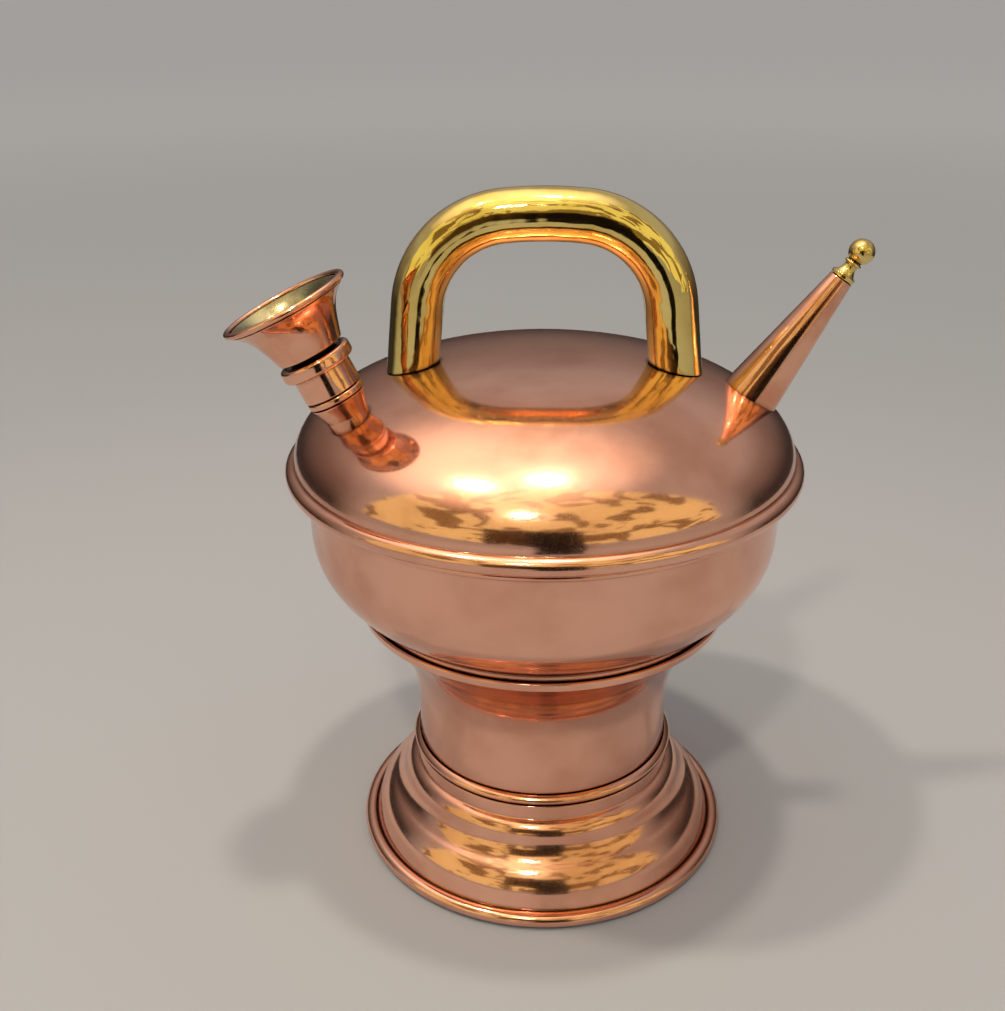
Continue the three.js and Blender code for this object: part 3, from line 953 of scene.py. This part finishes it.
@dataclass
class Dome:
    """Upper half of the boiler, curled at its edge round an iron wire."""

    radius: float = 76.0
    rise: float = 29.5
    power: float = 2.4
    bead: float = 2.7
    curl: Span = (-190.0, 90.0)
    rim_height: float = 132.8

    @property
    def base(self) -> float:
        """Height at which the dome leaves its rim."""
        return self.rim_height + self.bead - SEAT_GAP

    @property
    def top(self) -> float:
        """Height of the crown."""
        return self.base + self.rise

    @property
    def bead_centre(self) -> Point:
        """Centre of the wire in the rim."""
        return (self.radius, self.rim_height)

    def height(self, distance: float) -> float:
        """Height of the outside at a distance from the axis."""
        return self.base + self.rise * math.sqrt(max(0.0, 1 - (distance / self.radius) ** self.power))

    def outline(self) -> Outline:
        """Outside of the dome.

        Returns:
            Points from its curled edge to the crown.
        """
        line = arc(self.bead_centre, self.bead, *self.curl, 44)
        for t in shares(90)[1:-1]:
            angle = math.pi / 2 * t
            radius = self.radius * math.cos(angle) ** (2 / self.power)
            line.append((radius, self.base + self.rise * math.sin(angle)))
        return [*line, (0.0, self.top)]

    def build(self, shop: Workshop, holes: list[Mesh]) -> None:
        """Makes the dome with its holes, and its wire.

        Args:
            shop: What turns the pieces.
            holes: Cutters for the spouts' holes.
        """
        outside = self.outline()
        inside = offset(outside, SHEET)
        inside[-1] = (0.0, self.top - SHEET)
        section = softened(outside[::-1] + inside, 0.3, closed=False)
        blank = shop.turn("dome_blank", section, POLISHED_COPPER, solid=True)
        shell = cut_away(blank, holes)
        shell.name = "dome_sheet"
        shop.finish_piece(shell, "dome_shell")
        wire = wire_section(self.bead_centre, self.bead - SHEET - SEAT_GAP)
        shop.add_turned("dome_wire", "dome_rim_wire", wire, BLACK_IRON)


@dataclass
class Handle:
    """Brass tube bent into a bail and soldered across the dome."""

    radius: float = 7.8
    wall: float = 1.2
    rise: float = 41.7
    crown_radius: float = 116.0
    crown_angle: float = 5.8
    corner_radius: float = 28.4
    splay: float = 6.1
    leg: float = 12.0
    leg_reach: float = 30.0  # how far a leg may be lengthened to its seat
    sides: int = 72

    def half_line(self, dome: Dome) -> Outline:
        """Centreline of one half.

        Args:
            dome: What the handle stands on.

        Returns:
            Points from the middle of the grip down one leg, as X and height.
        """
        top = dome.top + self.rise
        turned = 90 - self.crown_angle
        crown = arc((0.0, top - self.crown_radius), self.crown_radius, 90, turned, 6)
        across, up = (self.corner_radius * part for part in arc((0.0, 0.0), 1.0, turned, turned, 1)[0])
        centre = (crown[-1][0] - across, crown[-1][1] - up)
        corner = arc(centre, self.corner_radius, turned, self.splay, 30)
        way = self.leg_way(1)
        reach = [self.leg * t for t in shares(4)[1:]]
        leg = [(corner[-1][0] + way.x * r, corner[-1][1] + way.z * r) for r in reach]
        return [*crown, *corner[1:], *leg]

    def leg_way(self, side: int) -> Vector:
        """Direction of the leg on that side, downwards."""
        lean = math.radians(self.splay)
        return Vector((side * math.sin(lean), 0, -math.cos(lean)))

    def seat(self, place: Vector, way: Vector, dome: Dome) -> Vector:
        """Slides a point along the leg until it stands just above the dome.

        Args:
            place: The point in metres.
            way: Direction of the leg, downwards.
            dome: What the leg stands on.

        Returns:
            The seated point.
        """
        low, high = 0.0, self.leg_reach * MM
        for _ in range(40):
            middle = (low + high) / 2
            tried = place + way * middle
            distance = math.hypot(tried.x, tried.y) / MM
            if tried.z > (dome.height(distance) + SEAT_GAP) * MM:
                low = middle
            else:
                high = middle
        return place + way * low

    def build(self, shop: Workshop, dome: Dome) -> None:
        """Makes the tube with its bore and seats both legs on the dome.

        Args:
            shop: What bends the tube.
            dome: What the legs stand on.
        """
        half = self.half_line(dome)
        line = [Vector((-x, 0, z)) * MM for x, z in half[:0:-1]]
        line += [Vector((x, 0, z)) * MM for x, z in half]
        material = shop.dress(BUFFED_BRASS, None)
        work = bmesh.new()
        for radius in (self.radius, self.radius - self.wall):
            values = {"Radius": radius * MM, "Sides": self.sides, "Material": material}
            work.from_mesh(shop.bender.make("handle_skin", line, False, values))
        for vert in {vert for edge in work.edges if edge.is_boundary for vert in edge.verts}:
            vert.co = self.seat(vert.co, self.leg_way(1 if vert.co.x > 0 else -1), dome)
        for side in (-1, 1):
            edges = [e for e in work.edges if e.is_boundary and e.verts[0].co.x * side > 0]
            bmesh.ops.bridge_loops(work, edges=edges)
        bmesh.ops.recalc_face_normals(work, faces=work.faces)
        mesh = bpy.data.meshes.new("handle")
        work.to_mesh(mesh)
        work.free()
        mesh.materials.append(material)
        shop.finish_piece(mesh, "handle_tube")


@dataclass
class Mouth:
    """Neck on the dome, and the sleeve that turns on it."""

    axis: Matrix
    neck_radius: float = 6.2
    tail: float = 3.5
    straight: float = 1.6
    flare_start: Point = (0.1, 0.4)  # beyond the straight neck
    flare_hollow: float = 0.12
    flare_radius: float = 8.0
    neck_height: float = 7.4
    bore: float = 4.3
    ring_radius: float = 8.4
    ring_height: float = 2.0
    ring_edge: float = 0.7
    pivot_radius: float = 5.3
    pivot_lip: float = 6.2
    pivot_lip_height: float = 1.0
    sleeve_radius: float = 8.5
    sleeve_top_radius: float = 8.4
    sleeve_floor: float = 1.5
    sleeve_taper: float = 7.3
    collar_radius: float = 10.5
    collar_height: float = 4.1
    collar_edge: float = 1.15

    @property
    def sleeve_base(self) -> float:
        """Underside of the turning sleeve."""
        return self.neck_height + self.ring_height + SEAT_GAP

    @property
    def pivot_top(self) -> float:
        """End of the neck inside the sleeve."""
        return self.sleeve_base + self.sleeve_floor + RUNNING_GAP + self.pivot_lip_height

    @property
    def taper_top(self) -> float:
        """Underside of the collar ring."""
        return self.sleeve_base + self.sleeve_taper

    @property
    def top(self) -> float:
        """Top of the sleeve and of the collar ring."""
        return self.taper_top + self.collar_height

    def hole(self, shop: Workshop) -> Mesh:
        """Cutter for the hole that the neck passes through."""
        return hole_cutter(shop, self.axis, self.neck_radius, self.neck_radius, self.tail * 2)

    def build(self, shop: Workshop) -> None:
        """Makes the neck, its shoulder ring, the sleeve and the collar ring.

        Args:
            shop: What turns the pieces.
        """
        lip_base = self.pivot_top - self.pivot_lip_height
        neck_top = self.neck_height - SEAT_GAP
        start = (self.neck_radius + self.flare_start[0], self.straight + self.flare_start[1])
        neck = [
            (self.neck_radius, -self.tail),
            (self.neck_radius, self.straight),
            *bow(start, (self.flare_radius, neck_top), -self.flare_hollow, 8),
            (self.pivot_radius, neck_top),
            (self.pivot_radius, lip_base),
            (self.pivot_lip, lip_base),
            (self.pivot_lip, self.pivot_top),
            (self.bore, self.pivot_top),
            (self.bore, -self.tail),
        ]
        bore = self.pivot_radius + SEAT_GAP
        ring = ring_section(bore, self.ring_radius, self.neck_height, self.ring_height, self.ring_edge)
        floor_top = self.sleeve_base + self.sleeve_floor
        sleeve_bore = self.pivot_lip + RUNNING_GAP
        pivot_hole = self.pivot_radius + RUNNING_GAP
        sleeve = [
            (pivot_hole, self.sleeve_base),
            (self.sleeve_radius, self.sleeve_base),
            (self.sleeve_top_radius, self.taper_top),
            (self.sleeve_top_radius, self.top),
            (sleeve_bore, self.top),
            (sleeve_bore, floor_top),
            (pivot_hole, floor_top),
        ]
        bore = self.sleeve_top_radius + SEAT_GAP
        collar = ring_section(bore, self.collar_radius, self.taper_top, self.collar_height, self.collar_edge)
        for name, node, section, rounding, body in (
            ("neck", "neck_tube", neck, 0.2, Body.BOILER),
            ("neck_shoulder", "neck_ring", ring, 0.15, Body.BOILER),
            ("sleeve", "mouth_sleeve", sleeve, 0.3, Body.SOCKET),
            ("sleeve_collar", "collar_ring", collar, 0.15, Body.SOCKET),
        ):
            shop.add_turned(name, node, softened(section, rounding), BRIGHT_COPPER, body, self.axis)


@dataclass
class Trumpet:
    """Lift-out bell with its spigot, its pale lining and its rolled lip."""

    mouth: Mouth
    gap: float = 1.3
    spigot_wall: float = 0.9
    base_radius: float = 9.6
    mouth_radius: float = 17.1
    height: float = 13.2
    taper: float = 0.56
    power: float = 4.6
    sheet: float = 0.8
    liner: float = 0.6
    lip: float = 0.9

    @property
    def base(self) -> float:
        """Underside of the bell."""
        return self.mouth.top + self.gap

    def bell(self) -> Outline:
        """Outside of the bell.

        Returns:
            Points from its base to its edge.
        """
        line = []
        for t in shares(40):
            spread = self.taper * t + (1 - self.taper) * t**self.power
            radius = self.base_radius + (self.mouth_radius - self.base_radius) * spread
            line.append((radius, self.base + self.height * t))
        return line

    def build(self, shop: Workshop) -> None:
        """Makes the four pieces of the trumpet.

        Args:
            shop: What turns the pieces.
        """
        spigot = self.mouth.pivot_lip
        bore = spigot - self.spigot_wall
        flange = spigot + self.spigot_wall
        foot = self.mouth.pivot_top + RUNNING_GAP
        tube = [
            (bore, foot),
            (spigot, foot),
            (spigot, self.base - self.spigot_wall),
            (flange, self.base - self.spigot_wall),
            (flange, self.base + self.sheet),
            (bore, self.base + self.sheet),
        ]
        bell = self.bell()
        shell = cup_section(flange + SEAT_GAP, bell, self.sheet)
        floor = self.base + self.sheet + SEAT_GAP
        wall = [point for point in offset(bell, self.sheet + SEAT_GAP) if point[1] > floor + 2 * CLEAR]
        corner = (wall[0][0] - CLEAR, floor)
        lining = cup_section(bore + self.liner, [corner, *wall], self.liner)
        edge = Vector(bell[-1])
        along = (edge - Vector(bell[-2])).normalized()
        inward = Vector((-along.y, along.x))
        stack = self.sheet + SEAT_GAP + self.liner
        centre = edge + inward * (stack / 2) + along * (SEAT_GAP + self.lip)
        for name, node, section, finish in (
            # The spigot's near-black brass is painted shade for its recess.
            ("spigot", "trumpet_spigot", softened(tube, 0.15), SPIGOT_SHADE_BRASS),
            ("bell", "trumpet_shell", softened(shell, 0.4), BRIGHT_COPPER),
            ("bell_lining", "trumpet_liner", softened(lining, 0.3), TINNED_BRASS),
            ("bell_lip", "trumpet_rim", wire_section(tuple(centre), self.lip), BRIGHT_COPPER),
        ):
            shop.add_turned(name, node, section, finish, Body.TRUMPET, self.mouth.axis)


@dataclass
class ConeSpout:
    """Slim cone on the dome and the turned stopper in its tip."""

    axis: Matrix
    base_radius: float = 8.5
    tip_radius: float = 3.5
    length: float = 41.6
    tail: float = 2.5
    wall: float = 1.0
    flange_radius: float = 3.65
    flange_height: float = 1.1
    waist_radius: float = 1.9
    waist_height: float = 4.7
    waist_start: Point = (0.5, 0.1)  # in from the flange's edge, and above its top
    waist_hollow: float = 0.35
    neck_share: float = 0.62  # of the waist's height, up to the astragal
    ball_radius: float = 3.7
    ball_sink: float = 0.8  # share of the ball's radius that stands above the waist
    astragal_radius: float = 2.6
    astragal_half: float = 0.45
    stem: float = 1.44  # height above the waist's end at which the ball's stem starts
    shank_length: float = 12.0
    shank_taper: float = 0.8

    def radius(self, along: float) -> float:
        """Radius of the outside at a distance along the axis."""
        return self.base_radius + (self.tip_radius - self.base_radius) * along / self.length

    def hole(self, shop: Workshop) -> Mesh:
        """Cutter for the hole that the cone passes through."""
        reach = self.tail * 2
        return hole_cutter(shop, self.axis, self.radius(-reach), self.radius(reach), reach)

    def build(self, shop: Workshop) -> None:
        """Makes the cone and the stopper.

        Args:
            shop: What turns the pieces.
        """
        low = self.radius(-self.tail)
        cone = [
            (low, -self.tail),
            (self.tip_radius, self.length),
            (self.tip_radius - self.wall, self.length),
            (low - self.wall, -self.tail),
        ]
        shop.add_turned("cone", "spout_cone", softened(cone, 0.25), BRIGHT_COPPER, axis=self.axis)
        section = softened(self.stopper(), 0.2, closed=False)
        shop.add_turned("stopper_knob", "stopper", section, TURNED_BRASS, Body.STOPPER, self.axis, solid=True)

    def stopper(self) -> Outline:
        """Section of the stopper.

        Returns:
            Points from the foot of its shank to the top of its ball, both on the axis.
        """
        shank = self.tip_radius - self.wall - RUNNING_GAP
        base = self.length + SEAT_GAP
        top = base + self.flange_height
        ball = top + self.waist_height + self.ball_radius * self.ball_sink
        seam = math.degrees(math.asin(self.waist_radius / self.ball_radius))
        neck = top + self.waist_height * self.neck_share
        start = (self.flange_radius - self.waist_start[0], top + self.waist_start[1])
        half = self.astragal_half
        return [
            (0.0, base - self.shank_length),
            (shank * self.shank_taper, base - self.shank_length),
            (shank, base),
            (self.flange_radius, base),
            (self.flange_radius, top),
            *bow(start, (self.waist_radius, neck), -self.waist_hollow, 10),
            *arc((self.astragal_radius - half, neck + 2 * half), half, -90, 90, 10),
            (self.waist_radius, neck + self.stem),
            *arc((0.0, ball), self.ball_radius, -90 + seam, 89, 40),
            (0.0, ball + self.ball_radius),
        ]


def hole_cutter(shop: Workshop, axis: Matrix, low: float, high: float, reach: float) -> Mesh:
    """Cutter for the hole that a spout passes through with a gap round it.

    Args:
        shop: What turns the cutter.
        axis: Frame of the spout.
        low: Radius of the spout at the cutter's lower end.
        high: Radius of the spout at its upper end.
        reach: How far it goes to either side of the dome's face.

    Returns:
        The cutter in its place.
    """
    bottom, top = low + SEAT_GAP, high + SEAT_GAP
    section = [(0, -reach), (bottom, -reach), (top, reach), (0, reach)]
    return shop.turn("spout_hole", section, POLISHED_COPPER, axis, solid=True)


@dataclass(frozen=True)
class Lamp:
    """One round lamp of the studio."""

    name: str
    way: Triple  # from the kettle to the lamp
    distance: float
    size: float = 0.08
    watts: float = 3.5
    tint: str = "FFF2DC"

    def hang(self, target: Vector) -> None:
        """Puts the lamp up.

        Args:
            target: What it is aimed at.
        """
        way = Vector(self.way).normalized()
        lamp = bpy.data.lights.new(self.name, "AREA")
        lamp.shape = "DISK"
        lamp.size = self.size
        lamp.energy = self.watts
        lamp.color = srgb(self.tint)[:3]
        holder = put_up(self.name, lamp)
        holder.location = target + way * self.distance
        holder.rotation_mode = "QUATERNION"
        holder.rotation_quaternion = (-way).to_track_quat("-Z", "Y")


@dataclass
class Surround:
    """Plain grey studio, paler overhead."""

    horizon: str = "A9A7A6"
    overhead: str = "B4AFAB"

    def build(self) -> None:
        """Makes the world."""
        world = bpy.data.worlds.new("studio_room")
        bpy.context.scene.world = world
        world.use_nodes = True
        tree = world.node_tree
        tree.nodes.clear()
        way = add_node(tree, "ShaderNodeTexCoord").outputs["Generated"]
        height = add_node(tree, "ShaderNodeSeparateXYZ", {"Vector": way}).outputs["Z"]
        colour = mixed(tree, soft_step(tree, height, 0.0, 0.8), srgb(self.horizon), srgb(self.overhead))
        light = add_node(tree, "ShaderNodeBackground", {"Color": colour, "Strength": 1.0})
        add_node(tree, "ShaderNodeOutputWorld", {"Surface": light.outputs["Background"]})


@dataclass
class Card:
    """A curved card of the stage, laid on a sphere round the kettle, that only the metal mirrors.

    Its places are directions from the kettle: sweep is the angle from the camera's side, positive
    to the right, and climb the angle above the floor.
    """

    name: str
    radius: float
    sweep: Span
    climb: Span
    centre: Triple = (0.0, 0.0, 0.15)

    def build(self) -> None:
        """Makes the card in its place, paints it and hides it from the camera, from diffuse light and from
        shadows.
        """
        across, up = 48, 24
        points = []
        for row in shares(up):
            climb = math.radians(self.climb[0] + (self.climb[1] - self.climb[0]) * row)
            for column in shares(across):
                turn = math.radians(self.sweep[0] + (self.sweep[1] - self.sweep[0]) * column)
                level = math.cos(climb)
                way = Vector((math.sin(turn) * level, -math.cos(turn) * level, math.sin(climb)))
                points.append(Vector(self.centre) + way * self.radius)
        wide = across + 1
        corners = [row * wide + column for row in range(up) for column in range(across)]
        mesh = bpy.data.meshes.new(self.name)
        mesh.from_pydata(points, [], [(c, c + 1, c + wide + 1, c + wide) for c in corners])
        material = bare_material(f"{self.name}_face")
        self.paint(material.node_tree)
        mesh.materials.append(material)
        card = put_up(self.name, mesh)
        card.visible_camera = False
        card.visible_diffuse = False
        card.visible_shadow = False

    def paint(self, tree: NodeTree) -> None:
        """Fills the material's tree."""
        raise NotImplementedError

    def directions(self, tree: NodeTree, waver: float) -> tuple[Socket, list[Socket]]:
        """Direction of each spot of the card from the kettle.

        Args:
            tree: The card's node tree.
            waver: How far a noise moves the three parts of the direction about.

        Returns:
            The direction, and its three parts made to waver.
        """
        place = add_node(tree, "ShaderNodeTexCoord").outputs["Object"]
        apart = reckon_way(tree, "SUBTRACT", place, self.centre).outputs[0]
        way = reckon_way(tree, "NORMALIZE", apart).outputs[0]
        noise = {"Vector": way, "Scale": 3.2, "Detail": 3.0, "Roughness": 0.6}
        shift = add_node(tree, "ShaderNodeTexNoise", noise).outputs["Fac"]
        parts = add_node(tree, "ShaderNodeSeparateXYZ", {"Vector": way}).outputs
        return way, [reckon(tree, "MULTIPLY_ADD", shift, waver, part) for part in parts]

    def cover(self, tree: NodeTree, colour: Socket | Colour, share: Socket, haze: float = 0.0) -> None:
        """Ends the tree in a glow of that colour where share is 1, clear where it is 0.

        Args:
            tree: The card's node tree.
            colour: Colour of the glow.
            share: How much of the card is there.
            haze: Brightness, if the card is a haze of light that hides nothing behind it.
        """
        clear = add_node(tree, "ShaderNodeBsdfTransparent").outputs[0]
        power = reckon(tree, "MULTIPLY", share, haze) if haze else 1.0
        glow = add_node(tree, "ShaderNodeEmission", {"Color": colour, "Strength": power}).outputs[0]
        if haze:
            sheet = add_node(tree, "ShaderNodeAddShader", {0: clear, 1: glow})
        else:
            sheet = add_node(tree, "ShaderNodeMixShader", {0: share, 1: clear, 2: glow})
        add_node(tree, "ShaderNodeOutputMaterial", {"Surface": sheet.outputs[0]})


@dataclass
class Reflector(Card):
    """Yellow card behind the camera, mottled with brown."""

    name: str = "reflector_card"
    radius: float = 2.2
    sweep: Span = (-84.0, 84.0)
    climb: Span = (0.5, 79.0)
    yellow: str = "F6E7A0"
    brown: str = "8A7047"

    def paint(self, tree: NodeTree) -> None:
        """Mottles the card, with more brown in its middle, and fades it at its sides.

        Args:
            tree: The card's node tree.
        """
        way, wavy = self.directions(tree, 0.16)
        noise = {"Vector": way, "Scale": 2.9, "Detail": 2.5, "Roughness": 0.5, "Distortion": 1.4}
        shapes = add_node(tree, "ShaderNodeTexNoise", noise).outputs["Fac"]
        aside = reckon(tree, "ABSOLUTE", wavy[0])
        mottle = soft_step(tree, reckon(tree, "MULTIPLY_ADD", aside, -0.14, shapes), 0.455, 0.475)
        colour = mixed(tree, mottle, srgb(self.yellow), srgb(self.brown))
        self.cover(tree, colour, soft_step(tree, wavy[1], -0.06, -0.14))


@dataclass
class Visor(Card):
    """Black card close behind the camera, which draws the dark line along the handle."""

    name: str = "visor_card"
    radius: float = 0.5
    sweep: Span = (-30.0, 26.0)
    climb: Span = (-17.0, 30.0)
    black: str = "120D0A"
    brown: str = "4A3520"

    def paint(self, tree: NodeTree) -> None:
        """Cuts the card to an L, wide below and narrow above, brown on its left.

        Args:
            tree: The card's node tree.
        """
        _, wavy = self.directions(tree, 0.18)
        low = soft_step(tree, wavy[2], 0.12, 0.02)
        left = soft_step(tree, wavy[0], -0.3, -0.26)
        inner = soft_step(tree, wavy[0], 0.02, 0.08)
        edge = add_node(tree, "ShaderNodeMix", {0: low, 2: left, 3: inner}).outputs[0]
        right = soft_step(tree, wavy[0], 0.4, 0.35)
        top = soft_step(tree, wavy[2], 0.5, 0.44)
        share = reckon(tree, "MULTIPLY", reckon(tree, "MULTIPLY", edge, right), top)
        brown = soft_step(tree, wavy[0], 0.1, -0.1)
        self.cover(tree, mixed(tree, brown, srgb(self.black), srgb(self.brown)), share)


@dataclass
class Screen(Card):
    """Dark cloth-grey card round the back, which gives the metal its dark edges."""

    name: str = "screen_card"
    radius: float = 0.6
    sweep: Span = (62.0, 298.0)
    climb: Span = (-14.0, 34.0)
    low: str = "383433"
    high: str = "877C76"

    def paint(self, tree: NodeTree) -> None:
        """Shades the card paler upwards and fades it at its top and sides.

        Args:
            tree: The card's node tree.
        """
        _, wavy = self.directions(tree, 0.08)
        rise = soft_step(tree, wavy[2], -0.1, 0.4)
        top = soft_step(tree, wavy[2], 0.58, 0.3)
        side = soft_step(tree, wavy[1], -0.2, 0.2)
        share = reckon(tree, "MULTIPLY", top, side)
        self.cover(tree, mixed(tree, rise, srgb(self.low), srgb(self.high)), share)


@dataclass
class Glow(Card):
    """Soft light round the lamps overhead."""

    name: str = "glow_card"
    radius: float = 1.6
    sweep: Span = (-180.0, 180.0)
    climb: Span = (30.0, 90.0)
    tint: str = "FFE6C8"
    strength: float = 1.4
    middle: Triple = (-0.2, 0.06, 0.98)

    def paint(self, tree: NodeTree) -> None:
        """Fades a haze of light from its middle.

        Args:
            tree: The card's node tree.
        """
        way, _ = self.directions(tree, 0.0)
        facing = reckon_way(tree, "DOT_PRODUCT", way, tuple(Vector(self.middle).normalized()))
        share = soft_step(tree, facing.outputs["Value"], 0.7, 1.0)
        self.cover(tree, srgb(self.tint), share, haze=self.strength)


@dataclass
class Studio:
    """Pale floor, soft light and the camera at the photograph's angle."""

    floor_near: str = "B4B6BA"
    floor_far: str = "E8E8E8"
    floor_fade: Span = (0.4, 2.5)
    floor_radius: float = 15.0
    floor_sides: int = 64
    image: tuple[int, int] = (1005, 1011)
    focal_pixels: float = 1199.84
    camera_mm: Triple = (4.11, -344.73, 270.09)
    pitch: float = 24.119
    yaw: float = -2.793
    roll: float = -0.566
    sensor: float = 36.0

    def build(self) -> None:
        """Sets the whole studio up, with three small warm lamps that stand as spots on the dome."""
        self._floor()
        Surround().build()
        for card in (Reflector(), Visor(), Screen(), Glow()):
            card.build()
        for lamp in (
            Lamp("lamp_left", (-0.34, -0.09, 0.94), 1.1),
            Lamp("lamp_middle", (0.02, 0.0, 1.0), 1.1),
            Lamp("lamp_front", (-0.12, -0.63, 0.77), 1.2),
        ):
            lamp.hang(Vector((0, -0.06, 0.15)))
        self._camera()
        bpy.context.scene.view_settings.view_transform = "Standard"

    def _floor(self) -> None:
        """A wide plain floor at the height that the kettle stands on."""
        ring = arc((0.0, 0.0), self.floor_radius, 0, 360, self.floor_sides)[:-1]
        mesh = bpy.data.meshes.new("floor")
        mesh.from_pydata([(x, y, 0) for x, y in ring], [], [tuple(range(self.floor_sides))])
        material = bare_material("plain_floor")
        tree = material.node_tree
        place = add_node(tree, "ShaderNodeTexCoord").outputs["Object"]
        away = soft_step(tree, reckon_way(tree, "LENGTH", place).outputs["Value"], *self.floor_fade)
        colour = mixed(tree, away, srgb(self.floor_near), srgb(self.floor_far))
        shader = add_node(tree, "ShaderNodeBsdfPrincipled", {"Base Color": colour, "Roughness": 0.9})
        add_node(tree, "ShaderNodeOutputMaterial", {"Surface": shader.outputs["BSDF"]})
        mesh.materials.append(material)
        put_up("floor", mesh)

    def _camera(self) -> None:
        """The camera, solved from the ellipses of the rings."""
        pitch, yaw, roll = (math.radians(a) for a in (self.pitch, self.yaw, self.roll))
        level_ahead = Vector((math.sin(yaw), math.cos(yaw), 0)) * math.cos(pitch)
        ahead = level_ahead - Vector((0, 0, math.sin(pitch)))
        level = Vector((math.cos(yaw), -math.sin(yaw), 0))
        above = level.cross(ahead)
        right = level * math.cos(roll) + above * math.sin(roll)
        up = above * math.cos(roll) - level * math.sin(roll)
        data = bpy.data.cameras.new("camera")
        data.sensor_width = self.sensor
        data.lens = self.focal_pixels * self.sensor / max(self.image)
        data.clip_start = 0.01
        camera = put_up("camera", data)
        turn = Matrix((right, up, -ahead)).transposed().to_4x4()
        camera.matrix_world = Matrix.Translation(Vector(self.camera_mm) * MM) @ turn
        bpy.context.scene.camera = camera


def stand(place: Vector, axis: Vector) -> Matrix:
    """Frame of a leaning spout.

    Args:
        place: Where the spout's axis meets the dome, in metres.
        axis: Direction of the spout.

    Returns:
        A frame at that place whose Z runs along the axis.
    """
    turn = Vector((0, 0, 1)).rotation_difference(axis.normalized())
    return Matrix.Translation(place) @ turn.to_matrix().to_4x4()


def main() -> None:
    """Builds the kettle piece by piece, then the studio."""
    joints = {joint["name"]: joint for joint in frame["joints"]}
    swivel = joints["mouth_swivel"]
    shop = Workshop()
    dome = Dome()
    cone_foot = Vector((SPOUT_DISTANCE, 0, dome.height(SPOUT_DISTANCE))) * MM
    mouth = Mouth(axis=stand(Vector(swivel["pos_m"]), Vector(swivel["axis"])))
    cone = ConeSpout(axis=stand(cone_foot, Vector(joints["stopper_lift"]["axis"])))
    Foot().build(shop)
    Column().build(shop)
    Bowl().build(shop)
    dome.build(shop, [mouth.hole(shop), cone.hole(shop)])
    Handle().build(shop, dome)
    mouth.build(shop)
    Trumpet(mouth).build(shop)
    cone.build(shop)
    Studio().build()
    log.info("%d pieces made", len(shop.made))


if __name__ == "__main__":
    main()
